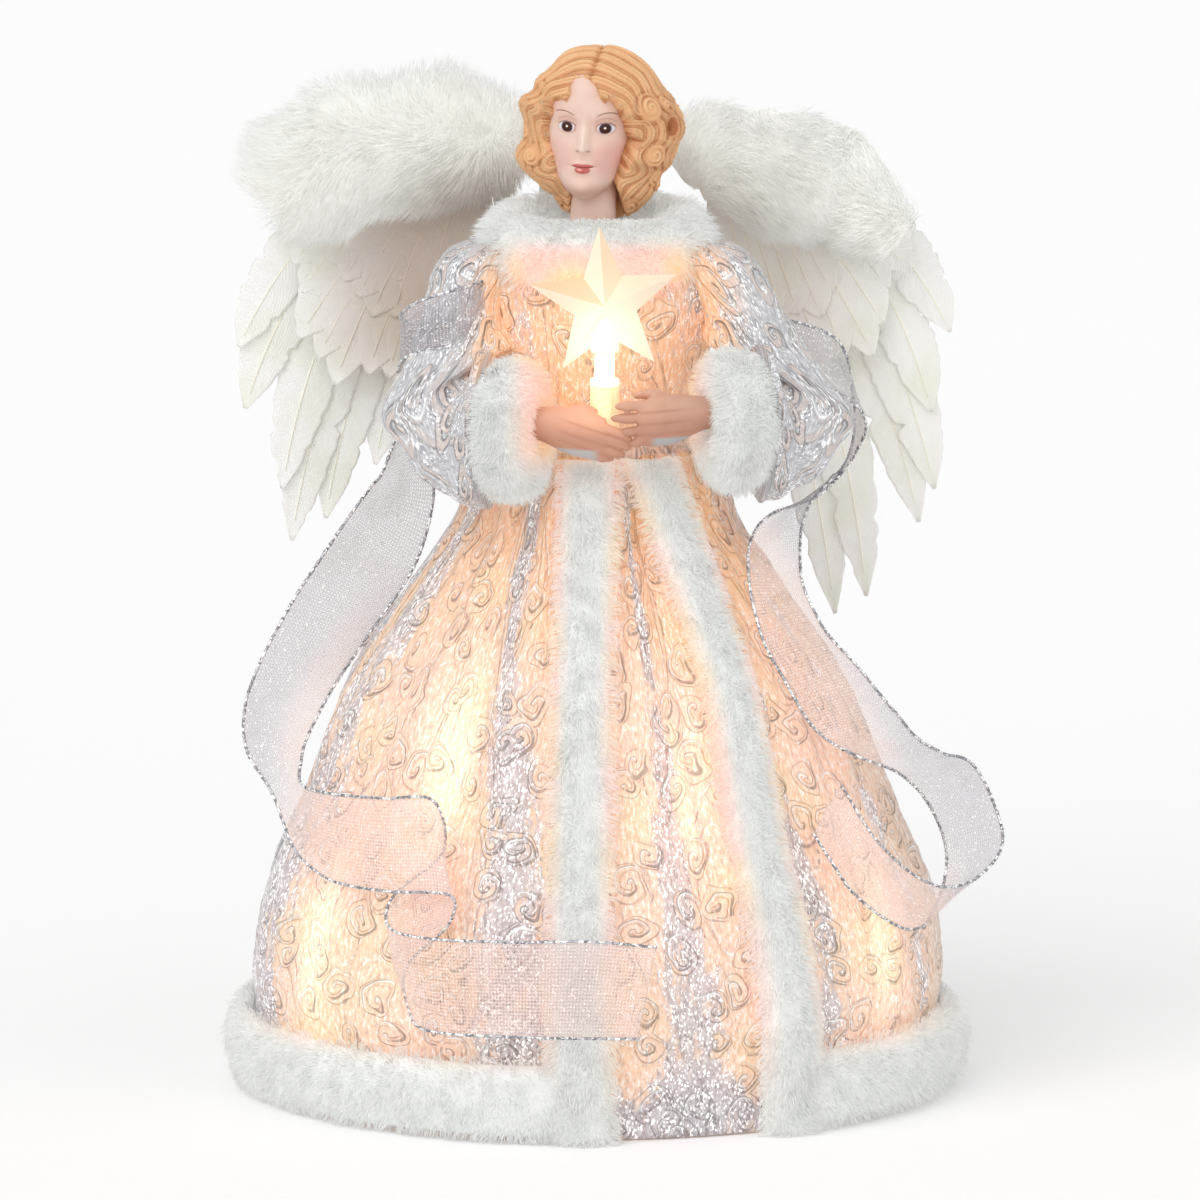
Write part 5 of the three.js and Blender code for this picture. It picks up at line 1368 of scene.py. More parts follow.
@dataclass
class Bust:
    """The bodice, the collar and the cast head."""

    wardrobe: Wardrobe
    bottom: float = 174.3
    top: float = 247.0
    chin: float = 262.95
    turn: float = -6.0
    head_x: float = -2.0
    centre_y: float = -1.5

    def bodice(self) -> None:
        """The dressed chest: an oval that changes with height, crumpled."""
        rows, around, girth = 70, 150, 190.0
        share = np.linspace(0, 1, rows)
        table = [[0, 1.03, 1.37], [0.08, 0.96, 1.18], [0.22, 0.9, 1], [0.42, 0.88, 0.96], [0.64, 0.97, 0.98],
                 [0.83, 1, 0.9], [0.94, 0.84, 0.72], [1, 0.5, 0.52]]
        half = through(table, share)[:, None]
        turn = circle(around)[None] + np.pi
        height = lerp(self.bottom, self.top, share)[:, None]
        oval = stack(np.sin(turn) * 35.6 * half[..., 0], -np.cos(turn) * 26.6 * half[..., 1], height)
        crumple = 0.5 * ripple(oval * [1, 1, 0.5], 6, 11) + 0.3 * ripple(oval, 2.6, 12)
        oval = oval + unit(oval * [1, 1.6, 0]) * (crumple - 0.4)[..., None]
        form = closed_tube(oval, stack(turn / (2 * np.pi) * girth, height), girth)
        x, y, z = form.points.T
        front = soft_step(20, -10, y)
        glow = (0.45 + 0.6 * glow_from_star(form.points, 40)) * front * bell(z - 214, 26)
        beside = bell(np.abs(x - 2.5) - 25, 8) * bell(z - 226, 18)
        Sculpture("bodice_cloth").add(form, glow=glow, silver=0.26 + 0.4 * beside + 0.5 * (1 - front)).build(
            self.wardrobe, Finish.BROCADE, ["bodice"])

    def collar(self) -> None:
        """The fur roll round the neck, low at the sides, its hairs combed out and down."""
        columns, around = 150, 26
        angle = np.arange(columns) / columns * 360
        outward = polar(angle, 1.0, 0.0)
        swell = 1 + 0.06 * ripple(outward * 30, 9, 4)
        ahead = soft_step(0.2, 1.0, np.cos(np.radians(angle)))
        level = 246.6 + 1.5 * np.cos(np.radians(2 * angle)) - 4.2 * ahead
        centre = outward * [24.6, 17.4, 0] + stack(0, 0, level)
        arms = spokes(circle(around), outward[:, None] * 7.6, UP * 9.6)
        rings = centre[:, None] + arms * swell[:, None, None]
        body = Form(rings.reshape(-1, 3), mesh_rows(columns, around, True, True)).outward()
        comb = outward[:, None] * 0.9 - 0.55 * UP + 0 * rings
        loop, over = np.arange(columns + 1) % columns, np.r_[19:26, 0:14]
        base, out, lean = (grid[loop][:, over] for grid in (rings, unit(arms), comb))
        coat = pelt(base, out, 13000, 4.8, 0.15, lean, 51, mess=0.25)

        def glow(points: np.ndarray) -> np.ndarray:
            """Warm light on the lower front of the roll."""
            x, y, z = points.T
            return 1.1 * soft_step(253, 242, z) * soft_step(33, 18, np.abs(x - 1)) * soft_step(0, -12, y)

        furred("fur_collar_coat", "fur_collar", (body, coat), self.wardrobe, glow)

    def settle(self, local: np.ndarray) -> np.ndarray:
        """Places on the head, from its own frame with the chin at zero: leaned, turned and lifted.

        Args:
            local: Places in the head's frame.

        Returns:
            Places in the figure.
        """
        lean, turn = math.radians(2.5), math.radians(self.turn - 1.5)
        x = local[..., 0] * math.cos(lean) + (local[..., 2] - 15) * math.sin(lean)
        z = (local[..., 2] - 15) * math.cos(lean) - local[..., 0] * math.sin(lean) + 15
        y = local[..., 1]
        return stack(x * math.cos(turn) - y * math.sin(turn) + self.head_x,
                     x * math.sin(turn) + y * math.cos(turn) + self.centre_y, z + self.chin)

    def cast(self, local: np.ndarray, flat: np.ndarray | float = 70.0) -> Form:
        """A closed form of the head from rings in its own frame; a plain flat place is far from any paint."""
        place = np.full(local.shape[:2] + (2,), flat) if np.isscalar(flat) else flat
        return closed_tube(self.settle(local), place)

    def face(self) -> Form:
        """The face and skull: an oval at each height; a feature is a bell across times a bell up and down.

        Returns:
            The closed form.
        """
        around = 166
        table = [
            [0, 0.3, 0.62, 0.2], [0.05, 0.52, 0.76, 0.35], [0.12, 0.69, 0.81, 0.5], [0.2, 0.8, 0.82, 0.6],
            [0.28, 0.87, 0.83, 0.7], [0.38, 0.95, 0.84, 0.86], [0.5, 1, 0.84, 0.96], [0.6, 1, 0.855, 1],
            [0.74, 0.97, 0.83, 1], [0.86, 0.82, 0.69, 0.86], [0.95, 0.52, 0.44, 0.56], [1, 0.1, 0.08, 0.1]]
        share = np.linspace(0.0, 1.0, 140)
        wide, front, back = np.moveaxis(through(table, share), -1, 0)[:, :, None]
        even = np.linspace(-1, 1, around, endpoint=False)[None, :]
        turn = np.sign(even) * np.abs(even) ** 1.55 * np.pi
        z = (share * 39.7 - 2.2)[:, None]
        x = np.sin(turn) * 11.9 * wide
        depth = -np.cos(turn) * np.where(np.cos(turn) > 0, front, back) * 14.5
        facing = soft_step(0.0, 0.5, np.cos(turn))
        # height of the relief, place and width across, place and size up and down
        features = {
            "bridge": (0.7, 0, 1.6, 20, 5), "nostrils": (0.6, 1.7, 0.75, 12.9, 1.0),
            "upper_lip": (0.95, 0, 2.3, 8.1, 0.7), "lower_lip": (1.14, 0, 2.3, 6.7, 0.95),
            "mouth": (-0.7, 0, 3.2, 7.5, 0.3), "corners": (-0.35, 3.7, 0.7, 7.8, 0.7),
            "groove": (-0.3, 0, 0.5, 10.3, 1.1), "chin": (1.2, 0, 3.4, 1.2, 2.4),
            "chin_fold": (-0.45, 0, 3, 4.4, 0.9), "lids": (0.3, 5.5, 2.6, 21.3, 0.55),
            "brows": (0.3, 5.4, 3.4, 23.9, 1.4), "cheeks": (1.0, 6.0, 3.6, 11.0, 4.6),
        }
        reliefs = {name: tall * bell(np.abs(x) - at_x, across) * bell(z - at_z, up)
                   for name, (tall, at_x, across, at_z, up) in features.items()}
        nose = 2.9 * bell(x, 1.25) * soft_step(20.5, 13.2, z) * soft_step(11.2, 12.9, z)
        sockets = -0.95 * bell(np.abs(x - 0.3) - 5.4, 3.2) * bell(z - 19.3, 2.8)
        balls = 1 - ((np.abs(x - 0.4) - 5.55) / 2.9) ** 2 - ((z - 19.0) / 1.9) ** 2
        balls = 0.85 * np.sqrt(np.clip(balls, 0, 1))
        detail = (sum(reliefs.values()) + nose + sockets + balls) * facing
        flat = stack(np.where(np.cos(turn) > 0, x, np.sign(x) * 60), np.broadcast_to(z, x.shape))
        form = self.cast(stack(x, depth - detail, z), flat)
        # painted shade in the eye sockets, in the groove over the lip and under the chin
        recess = np.clip(-(sockets + reliefs["groove"]) * 0.35 + 0.7 * bell(z, 2.0), 0, 1) * facing
        form.values["recess"] = np.append(recess.reshape(-1), [0.5, 0.0])
        return form

    def neck(self) -> Form:
        """The neck, down into the collar: circles that widen at the foot.

        Returns:
            The closed form.
        """
        height = np.linspace(-29, 9, 36)
        radius = through([[-29, 8.6], [-20, 7.6], [-10, 6.7], [0, 6.5], [9, 6.8]], height)[:, None]
        turn = circle(48)[None]
        form = self.cast(stack(np.sin(turn) * radius + 2.0, -np.cos(turn) * radius * 0.96 + 1.2,
                               height[:, None]))
        # painted shade under the chin
        form.values["recess"] = 0.9 * bell(form.points[:, 2] - self.chin - 1, 3.5)
        return form

    def ear(self) -> Form:
        """The ear on the figure's left: a flat shell with a hollow.

        Returns:
            The closed form.
        """
        turn, up = np.meshgrid(circle(26), np.linspace(-1.35, 1.35, 20))
        across, ahead = np.sin(turn) * np.cos(up), np.cos(turn) * np.cos(up)
        rim = 1 - 0.35 * bell(ahead, 0.5) * (np.sin(turn) > 0)
        form = self.cast(stack(13.3 + across * 1.5 * rim, 0.2 + ahead * 1.8, 13.4 + np.sin(up) * 2.7))
        # a little painted shade over the whole ear
        form.values["recess"] = np.full(len(form.points), 0.15)
        return form

    def window(self, places: np.ndarray) -> np.ndarray:
        """1 at places where the face shows in the photograph's view, and 0 outside its outline.

        Args:
            places: Places on the head.

        Returns:
            A number for each place.
        """
        seen = places[..., 0] - self.head_x
        level = 2.66 + 0.985 * (places[..., 2] - self.chin) + 0.1736 * places[..., 1]
        over = [[-13, 26.5], [-11.7, 26.9], [-10.5, 27.1], [-8.2, 27.2], [-7, 26.6], [-6.2, 28], [-5.6, 30.7],
                [-4.6, 32.6], [-3, 33.7], [-1.6, 33.9], [-0.5, 32.8], [1.5, 31.5], [2.6, 29.6], [3.4, 28],
                [4.9, 26.7], [6, 28], [7.6, 27.2], [9.6, 25.2], [11.3, 22], [15, 20]]
        sides = [
            [-9, -5, 10.4], [-6.3, -5, 10], [-1.9, -5.3, 9], [0, -5.5, 8.2], [2.2, -6.2, 7.4], [3.7, -7.2, 8],
            [6.7, -9.3, 10.4], [10, -10.6, 12], [12, -11.2, 12.8], [13, -11.4, 14.6], [15, -11.9, 15.3],
            [16.7, -12.2, 13.2], [18, -12.4, 12.5], [21.5, -12.7, 12.3], [25, -12.9, 12.3], [40, -12.9, 12.3]]
        left, right = np.moveaxis(through(sides, level), -1, 0)
        inside = np.minimum(np.minimum(through(over, seen) - level, seen - left), right - seen)
        return soft_step(-0.8, 0.8, inside) * (places[..., 1] < 3.0)

    def hair(self) -> Form:
        """The cast hair: one mass round the head, pushed in where the face looks out, with locks and curls.

        Its reach is read from a table for each side. Grooves follow circles round the face at the front and
        fall straight at the back, bent by waves. Each curl is a dome with a spiral groove, and the last of
        its values says whether it is hollow.

        Returns:
            The closed form.
        """
        rows, around = 244, 280
        even = np.linspace(-1, 1, around, endpoint=False)[None, :]
        turn = np.sign(even) * np.abs(even) ** 1.2 * np.pi
        up = np.radians(np.linspace(-86, 89, rows))[:, None]
        left = [[-90, 25.5], [-68, 25.6], [-59, 24], [-41.5, 24], [-28, 25.2], [-20, 25], [-10.7, 21.6],
                [4.7, 21.9], [15.4, 23.9], [25, 21.3], [33.4, 22], [45.9, 21.4], [63.3, 22.9], [82, 22.6],
                [90, 22.6]]
        right = [[-90, 26], [-68.7, 26], [-58, 24.8], [-44.7, 23.5], [-35.4, 21.8], [-20.6, 22.4],
                 [-12, 22.2], [-3.6, 23.1], [4.3, 23.6], [22.9, 22], [36.2, 20.7], [54, 21.7], [70, 22.5],
                 [82, 22.8], [90, 22.7]]
        deeper = [[-90, 0.55], [-30, 0.58], [2, 0.62], [14, 0.78], [24, 0.92], [38, 1], [90, 1]]
        centre = np.array([2.6, 5.0, 17.0])

        def surface(turn: np.ndarray, up: np.ndarray) -> tuple[np.ndarray, np.ndarray]:
            """The plain mass and its direction from the middle, at angles round and up.

            Args:
                turn: Angle round in radians.
                up: Angle up.

            Returns:
                The places and the unit directions.
            """
            level = np.degrees(up)
            reach = lerp(through(left, level), through(right, level), soft_step(-1, 1, np.sin(turn)))
            deep = lerp(0.76, through(deeper, level), soft_step(-0.3, 0.4, np.cos(turn)))
            way = stack(np.sin(turn) * np.cos(up), -np.cos(turn) * np.cos(up), np.sin(up))
            return centre + way * stack(reach, reach * deep, reach), way

        def locks(place: np.ndarray) -> np.ndarray:
            """Broad rounded locks 3.9 mm apart with fine grooves 1.3 mm apart."""
            return np.abs(np.sin(np.pi * place / 3.9)) ** 0.5 + 0.36 * np.cos(2 * np.pi * place / 1.3)

        base, way = surface(turn, up)
        axis = unit(np.array([-2.6, -17.0, -3.0]))
        above = unit(UP - axis * axis[2])
        ring = np.arccos(np.clip(way @ axis, -1, 1)) * 21
        run = np.abs(np.arctan2(way @ np.cross(above, axis), way @ above))
        wave = 2.1 * soft_step(0.4, 1.2, run) * np.sin(run * 8.5 + 2.4 * ripple(base, 11.0, 2))
        front = ring + wave + 0.8 * ripple(base, 8.0, 4)
        behind = 17 * turn + 1.5 * np.sin(up * 9 + 2 * ripple(base, 10.0, 5)) + 0.8 * ripple(base, 8.0, 6)
        relief = lerp(locks(front), locks(behind), soft_step(0.0, 0.45, way[..., 1]))
        parting = bell(way[..., 0] * 23 + 2.6 - 2.2 * soft_step(0.6, 1, way[..., 2]), 0.9)
        parting = parting * soft_step(0.45, 0.6, way[..., 2]) * soft_step(0.3, 0.0, way[..., 1])
        relief = relief * (1 - 0.6 * parting)
        # angle round, angle up, size, direction of the spiral, hollow
        curls = [
            (-67, 15, 2.1, 1, 0), (-62, 33, 2.2, 1, 0), (-53, -19, 3.8, -1, 0), (-66, -60, 3, 1, 0),
            (-78, -5, 3.4, 1, 0), (50, 22, 5.0, 1, 0), (70, 24, 2.6, -1, 0), (67, 6, 3.9, 1, 1),
            (52, -15, 4.2, 1, 0), (72, -36, 3.4, -1, 0), (52, -60, 3.4, 1, 0), (92, 14, 4, 1, 0),
            (96, -14, 4, -1, 0), (122, 0, 4.2, 1, 0), (150, -16, 4.2, -1, 0), (180, -30, 4.4, 1, 0),
            (-150, -14, 4.2, -1, 0), (-122, 2, 4.2, 1, 0), (-98, -22, 4, -1, 0), (-96, 12, 4, 1, 0),
            (128, -36, 4.2, 1, 0), (-130, -38, 4.2, 1, 0), (92, -42, 3.8, 1, 0), (-92, -50, 3.6, -1, 0),
            (158, -52, 4, -1, 0), (-162, -52, 4, 1, 0)]
        for angle, rise, size, hand, hollow in curls:
            at, aim = surface(np.radians([angle]), np.radians([rise]))
            side = unit(np.cross(UP, aim[0]))
            away = base - at[0]
            wide, tall = away @ side, away @ np.cross(aim[0], side)
            turned = np.arctan2(tall, wide) / (2 * np.pi)
            far = np.hypot(np.linalg.norm(away, axis=-1), 0.35 * wide + 0.2 * tall)
            arcs = np.cos(2 * np.pi * (far**0.85 / 1.3 + hand * turned))
            arcs = arcs * (0.62 + 0.38 * np.sin(2 * np.pi * turned + angle))
            coil = 0.6 * (1 - np.clip(far / size, 0, 1) ** 2) + 0.45 * arcs + 0.4
            coil = coil - hollow * 3.4 * bell(far, size * 0.5)
            relief = lerp(relief, coil, 1 - soft_step(0.62 * size, 1.1 * size, far))
            relief = relief - 0.25 * bell(far / size - 1.02, 0.12)
        mass = base + way * relief[..., None]
        shown = self.window(self.settle(mass))
        mass = lerp(mass, centre + (mass - centre) * 0.45, shown[..., None])
        form = closed_tube(self.settle(mass))
        crest = np.clip(0.62 * relief - 0.02, 0, 1) * (1 - shown)
        form.values["ridge"] = np.append(crest.reshape(-1), [0.4, 0.4])
        return form

    def head(self) -> None:
        """The whole cast head: skin, then hair."""
        sculpture = Sculpture("cast_head")
        for form in (self.face(), self.neck(), self.ear()):
            sculpture.add(form, 0, glow=0.25 * glow_from_star(form.points, 26))
        looks = [self.wardrobe.slots[Finish.HEAD], self.wardrobe.hair]
        sculpture.add(self.hair(), 1).build(self.wardrobe, Finish.HEAD, ["head"], looks=looks)

    def build(self) -> None:
        """Makes the bust's pieces."""
        self.bodice()
        self.collar()
        self.head()


class Side(Enum):
    """Which side of the picture an arm or a wing is on."""

    LEFT = -1
    RIGHT = 1

    @property
    def word(self) -> str:
        """The side's name in a node's name."""
        return self.name.lower()


@dataclass
class Arm:
    """One arm: the sleeve, the fur cuff and the cast hand."""

    wardrobe: Wardrobe
    side: Side
    shoulder_reach: float = 37.0
    elbow: tuple[float, float, float] = (53.5, -24.0, 203.0)
    cuff_reach: float = 32.0
    shift: float = 8.0

    def __post_init__(self) -> None:
        """Works out the arm's places from its side."""
        s = self.side.value
        turn = math.radians(25)
        self.forward = np.array([-s * math.cos(turn), -math.sin(turn), 0.0])
        self.low = np.array([s * math.sin(turn), -math.cos(turn), 0.0])
        self.cuff = np.array([s * self.cuff_reach + self.shift, -41.0, 199.7 + s * 1.4])
        self.end = self.cuff - self.forward * 7.8

    def sleeve(self) -> None:
        """The sleeve: ovals carried from the shoulder round the elbow to the cuff, pinched into folds."""
        s = self.side.value
        elbow = np.array([s * self.elbow[0] + 6.5, self.elbow[1], self.elbow[2]])
        shoulder = np.array([s * self.shoulder_reach, -3.0, 240.0])
        end = self.end
        # share, place, turn of the section, half width across the bend, half width along it
        stations = [
            (0.0, shoulder + [-s * 9, 1, 7.5], 0, 3.0, 6),
            (0.06, shoulder + [-s * 6.5, 0, 6.5], 0, 8.5, 10),
            (0.16, shoulder + [-s * 3, 0, 2.0], 0, 11.8, 13),
            (0.3, lerp(shoulder, elbow, 0.3) + [-s * 1.5, 0, 0], 2, 11.6, 13),
            (0.44, lerp(shoulder, elbow, 0.62) + [-s * 1, 0, 0], 8, 12.6, 13.4),
            (0.56, elbow + [0, 1.5, 3.5], 30, 15.6, 14.0),
            (0.68, lerp(elbow, end, 0.42) + [0, 0, -2.0], 62, 19.4, 14.2),
            (0.82, lerp(elbow, end, 0.74) + [0, 0, -2.2], 82, 22.4, 14.0),
            (0.94, end - self.forward * 1.5 + [0, 0, -0.8], 90, 23.4, 13.6),
            (1.0, end + [0, 0, -0.4], 90, 22.4, 13.2),
        ]
        rows, around, girth = 96, 92, 100.0
        share = np.linspace(0, 1, rows)[:, None]
        run = through([[place, *point, *rest] for place, point, *rest in stations], share[:, 0])
        centre, angle = run[:, None, :3], np.radians(run[:, 3])
        tall, deep = run[:, 4, None, None], run[:, 5, None, None]
        along = unit(lerp(np.array([0, -1.0, 0]), self.low, (angle / (np.pi / 2))[:, None]))
        across = stack(-s * np.cos(angle), 0 * angle, np.sin(angle))
        across = unit(across - along * (across * along).sum(-1, keepdims=True))
        ring = circle(around) + np.pi / 2
        arms = spokes(ring, across[:, None] * tall, along[:, None] * deep)
        inner, outer = np.clip(np.cos(ring), 0, 1), np.clip(-np.cos(ring), 0, 1)
        bend = bell(share - 0.57, 0.09)
        pinch = inner * (0.42 * bell(share - 0.43, 0.09) - 0.26 * bell(share - 0.60, 0.07))
        pinch = pinch + 0.05 * outer * bend
        folds = 0.05 * np.sin(share * 42 + 2.4 * np.cos(ring + 0.5)) * (0.35 + bend)
        length = np.cos(ring * 6 + share * 5) * 0.028 * soft_step(0.6, 0.9, share)
        points = centre + arms * (1 + pinch + folds + length)[..., None]
        crumple = 0.75 * ripple(points, 5.0, 31 + s) + 0.4 * ripple(points, 2.4, 33 + s)
        points = points + unit(arms) * (crumple * soft_step(0, 0.1, share * (1.02 - share) * 4))[..., None]
        form = closed_tube(points, stack(ring / (2 * np.pi) * girth, share * 88), girth)
        x, y, z = form.points.T
        near = soft_step(46, 22, np.abs(x - 2.5)) * soft_step(5, -18, y)
        glow = 0.75 * near * bell(z - 226, 24) + 0.5 * glow_from_star(form.points, 30)
        name = f"sleeve_{self.side.word}"
        Sculpture(name + "_cloth").add(form, glow=glow, silver=0.66 - 0.3 * near).build(
            self.wardrobe, Finish.SILVER, [name])

    def fur_cuff(self) -> None:
        """The fur ring at the wrist: a thick band round an oval, with hairs on all its outer faces."""
        columns = 90
        turn = circle(columns)
        side = np.array([-self.forward[1], self.forward[0], 0.0])
        swell = 1 + 0.06 * ripple(stack(np.cos(turn) * 20, np.sin(turn) * 20, 3), 9, 61)
        oval = spokes(turn, side * 14.2, UP * 19.6) * swell[:, None]
        profile = [(-1.0, 0.35), (-1.02, 0.62), (-0.86, 0.84), (-0.5, 0.93), (0, 0.96), (0.5, 0.93),
                   (0.86, 0.84), (1.02, 0.62), (1.0, 0.35)]
        points = np.array([self.cuff + self.forward * along * 6.6 + oval * wide for along, wide in profile])
        inner = [self.cuff + self.forward * along * 6.6 + (points[0] - self.cuff + self.forward * 6.6) * 0.98
                 for along in (0.5, -0.5)]
        loop = np.concatenate([points, inner])
        body = Form(loop.reshape(-1, 3), mesh_rows(len(loop), columns, True, True)).outward()
        normal = grid_normals(points, True)
        if ((points - self.cuff) * normal).sum() < 0:
            normal = -normal
        comb = self.forward * 0.25 - 0.45 * UP + 0 * points
        coat = pelt(points, normal, 9500, 4.4, 0.15, comb, 71 + self.side.value, True, 0.25)

        def glow(points: np.ndarray) -> np.ndarray:
            """Warm light on the upper part that faces the star."""
            x, _, z = points.T
            return 0.95 * soft_step(33, 18, np.abs(x - 4)) * soft_step(180, 198, z)

        name = f"cuff_{self.side.word}"
        furred(name + "_coat", name, (body, coat), self.wardrobe, glow)

    def hand(self) -> None:
        """The cast hand: a palm and bent fingers as tubes through points, fused and smoothed."""
        left = self.side is Side.LEFT
        if left:
            palm = [[-24, -41, 200.5], [-16, -45, 200.8], [-8, -50.0, 199.8], [-1, -53.0, 198.5],
                    [3.0, -53.8, 197.5]]
            palm_size = [[4.6, 4.6], [4.6, 4.9], [3.4, 7.0], [3.0, 7.0], [2.2, 6.2]]
            fingers = [
                ([[0, -53.4, 202.0], [4.0, -54.6, 200.6], [8.0, -54.8, 198.8], [10.6, -53.6, 197.0]], 1.65),
                ([[0, -53.6, 198.8], [4.0, -54.8, 197.4], [7.6, -54.9, 196.0], [10.2, -53.6, 194.9]], 1.65),
                ([[-1, -53.4, 195.8], [2.6, -54.4, 194.6], [6.0, -54.4, 193.6], [8.4, -53.0, 193.0]], 1.55),
                ([[-3, -53.0, 193.6], [0.2, -53.6, 192.6], [3.0, -53.4, 192.0], [5.2, -52.2, 191.8]], 1.4),
                ([[-9, -48.6, 204.0], [-5.6, -50.6, 206.0], [-2.2, -51.4, 206.0], [0.6, -51.2, 205.0]], 1.8),
            ]
        else:
            palm = [[40, -41, 203.0], [31, -45.5, 204.0], [23, -50.0, 203.2], [16.5, -52.6, 202.6],
                    [12.0, -53.4, 202.2]]
            palm_size = [[4.6, 4.6], [4.8, 4.9], [3.4, 7.2], [3.0, 7.2], [2.2, 6.4]]
            fingers = [
                ([[14, -53.2, 207.4], [10.6, -54.4, 207.6], [7.6, -54.6, 207.5], [5.4, -53.6, 207.2]], 1.65),
                ([[14, -53.4, 204.0], [10.4, -54.8, 204.0], [6.8, -55.0, 204.0], [4.2, -53.8, 203.8]], 1.65),
                ([[14, -53.4, 200.6], [10.8, -54.8, 200.2], [8.0, -55.0, 199.9], [5.8, -54.0, 199.6]], 1.6),
                ([[15, -53.0, 197.6], [12.6, -54.2, 197.0], [10.6, -54.4, 196.6], [8.8, -53.6, 196.4]], 1.45),
                ([[22, -48.4, 208.0], [17.6, -49.4, 210.0], [13.6, -49.8, 210.2], [10.6, -49.6, 209.4]], 1.8),
            ]
        share = np.linspace(0, 1, 40)
        path, size = (through([[n / 4, *row] for n, row in enumerate(rows)], share)
                      for rows in (palm, palm_size))
        side = unit(np.cross(unit(np.gradient(path, axis=0)), UP))
        arms = spokes(circle(28), side[:, None] * size[:, :1, None], UP * size[:, 1:, None])
        name = f"hand_{self.side.word}"
        sculpture = Sculpture("cast_" + name).add(closed_tube(path[:, None] + arms, ends=path[[0, -1]]))
        share = np.linspace(0, 1, 26)
        for places, thick in fingers:
            finger = through([[n / 3, *place] for n, place in enumerate(places)], share)
            girth = thick * (1 - 0.22 * share) * (1 + 0.07 * np.cos(share * 12.5))
            sculpture.add(cord(finger, girth * np.sqrt(np.clip(1.02 - share**6, 0.05, 1)), 16, (0, 0.4, 1.0)))
        piece = sculpture.build(self.wardrobe, Finish.HAND, [name])
        fuse(piece, 0.42, 6)
        points = np.empty(len(piece.data.vertices) * 3, np.float32)
        piece.data.vertices.foreach_get("co", points)
        x, _, z = (points.reshape(-1, 3) / METRES).T
        layer = piece.data.uv_layers.new(name="cloth")
        layer.data.foreach_set("uv", np.full(len(piece.data.loops) * 2, 0.07, np.float32))
        # a grey band along the lower edge of each hand
        if left:
            line, between, reach = z + 0.3 * x, (200.4, 197.0, 194.2), soft_step(-13, -6, x)
            upper, lamp = soft_step(197, 204, z), 1.0
            lining = soft_step(195.2, 194.2, z) * soft_step(-24, -20, x) * soft_step(2, -2, x)
        else:
            line, between, reach = z - 0.05 * (x - 14), (205.7, 202.3, 199.1), soft_step(30, 21, x)
            upper, lamp = soft_step(199, 209, z), 0.25
            lining = soft_step(198.6, 197.6, z) * soft_step(15, 18, x)
        # painted shade on the lower side of the hand and in the grooves between the fingers; the upper side
        # gets more of the star's glow
        grooves = reach * sum(bell(line - level, 0.4) for level in between)
        glow = lamp * soft_step(24, 6, np.abs(x - 2.5)) * (0.15 + 0.85 * upper)
        recess = np.clip(0.75 * (1 - upper) + 0.7 * grooves, 0, 1)
        put_values(piece.data, glow=glow, recess=recess, lining=lining)

    def build(self) -> None:
        """Makes the arm's pieces."""
        self.sleeve()
        self.fur_cuff()
        self.hand()


def fuse(piece: bpy.types.Object, voxel: float, rounds: int) -> None:
    """Makes overlapping tubes one skin by a voxel remesh, then smooths it.

    Args:
        piece: The piece whose mesh is rebuilt.
        voxel: Size of a voxel in millimetres.
        rounds: Rounds of smoothing.
    """
    remesh = piece.modifiers.new("one_skin", "REMESH")
    remesh.mode = "VOXEL"
    remesh.voxel_size = voxel * METRES
    remesh.use_smooth_shade = True
    smooth = piece.modifiers.new("soften", "SMOOTH")
    smooth.factor = 0.5
    smooth.iterations = rounds
    graph = bpy.context.evaluated_depsgraph_get()
    mesh = bpy.data.meshes.new_from_object(piece.evaluated_get(graph))
    piece.modifiers.clear()
    old = piece.data
    materials = list(old.materials)
    piece.data = mesh
    mesh.materials.clear()
    for material in materials:
        mesh.materials.append(material)
    mesh.polygons.foreach_set("use_smooth", np.ones(len(mesh.polygons), bool))
    bpy.data.meshes.remove(old)
    mesh.name = piece.name


@dataclass
class StarLight:
    """The acrylic star on its lamp."""

    wardrobe: Wardrobe
    x: float = 2.5
    y: float = -47.5
    middle: float = 236.4
    radius: float = 22.5
    waist: float = 9.5
    thickness: float = 12.5
    tilt: float = 4.0

    def build(self) -> None:
        """Makes the star, whose five points have a raised ridge on each side, and the short neck under it."""
        middle = [self.x, self.y, self.middle]
        turn = circle(10) + math.radians(self.tilt)
        reach = np.where(np.arange(10) % 2 == 0, self.radius, self.waist)
        rim = stack(-np.sin(turn) * reach, 0 * turn, np.cos(turn) * reach)
        # painted shade for each face of the star
        facet_shades = [0.05, 0.85, 0.0, 0.1, 0.0, 0.0, 0.15, 0.05, 0.3, 0.5]
        faces, points, facet = [], [], []
        for n in range(10):
            for side in (-1, 1):
                corner = [rim[n], rim[(n + 1) % 10], np.array([0, side * self.thickness / 2, 0])]
                place, cell = split_triangle(np.array(corner[::-side]), 6)
                faces.append(cell + len(place) * len(points))
                points.append(place)
                facet.append(np.full(len(place), facet_shades[(n + (side > 0)) % 10]))
        place = np.concatenate(points) + middle
        away = np.hypot(place[:, 0] - self.x, (place[:, 2] - self.middle + 14) * 0.7)
        star = Form(place, np.zeros((0, 4), int), np.concatenate(faces),
                    values={"lit": bell(away, 12.5), "facet": np.concatenate(facet)}).outward()
        profile = np.array([[4.0, -14.2], [4.2, -13.6], [3.9, -9], [3.9, 0], [3.0, 0.9]])[:, None]
        turn, radius = circle(40), profile[..., 0]
        neck = closed_tube(stack(np.cos(turn) * radius, np.sin(turn) * radius, profile[..., 1]) + middle)
        Sculpture("lit_star").add(star, smooth=False).add(neck, lit=1.0, facet=0.0).build(
            self.wardrobe, Finish.STAR, ["star_cap"], "star")


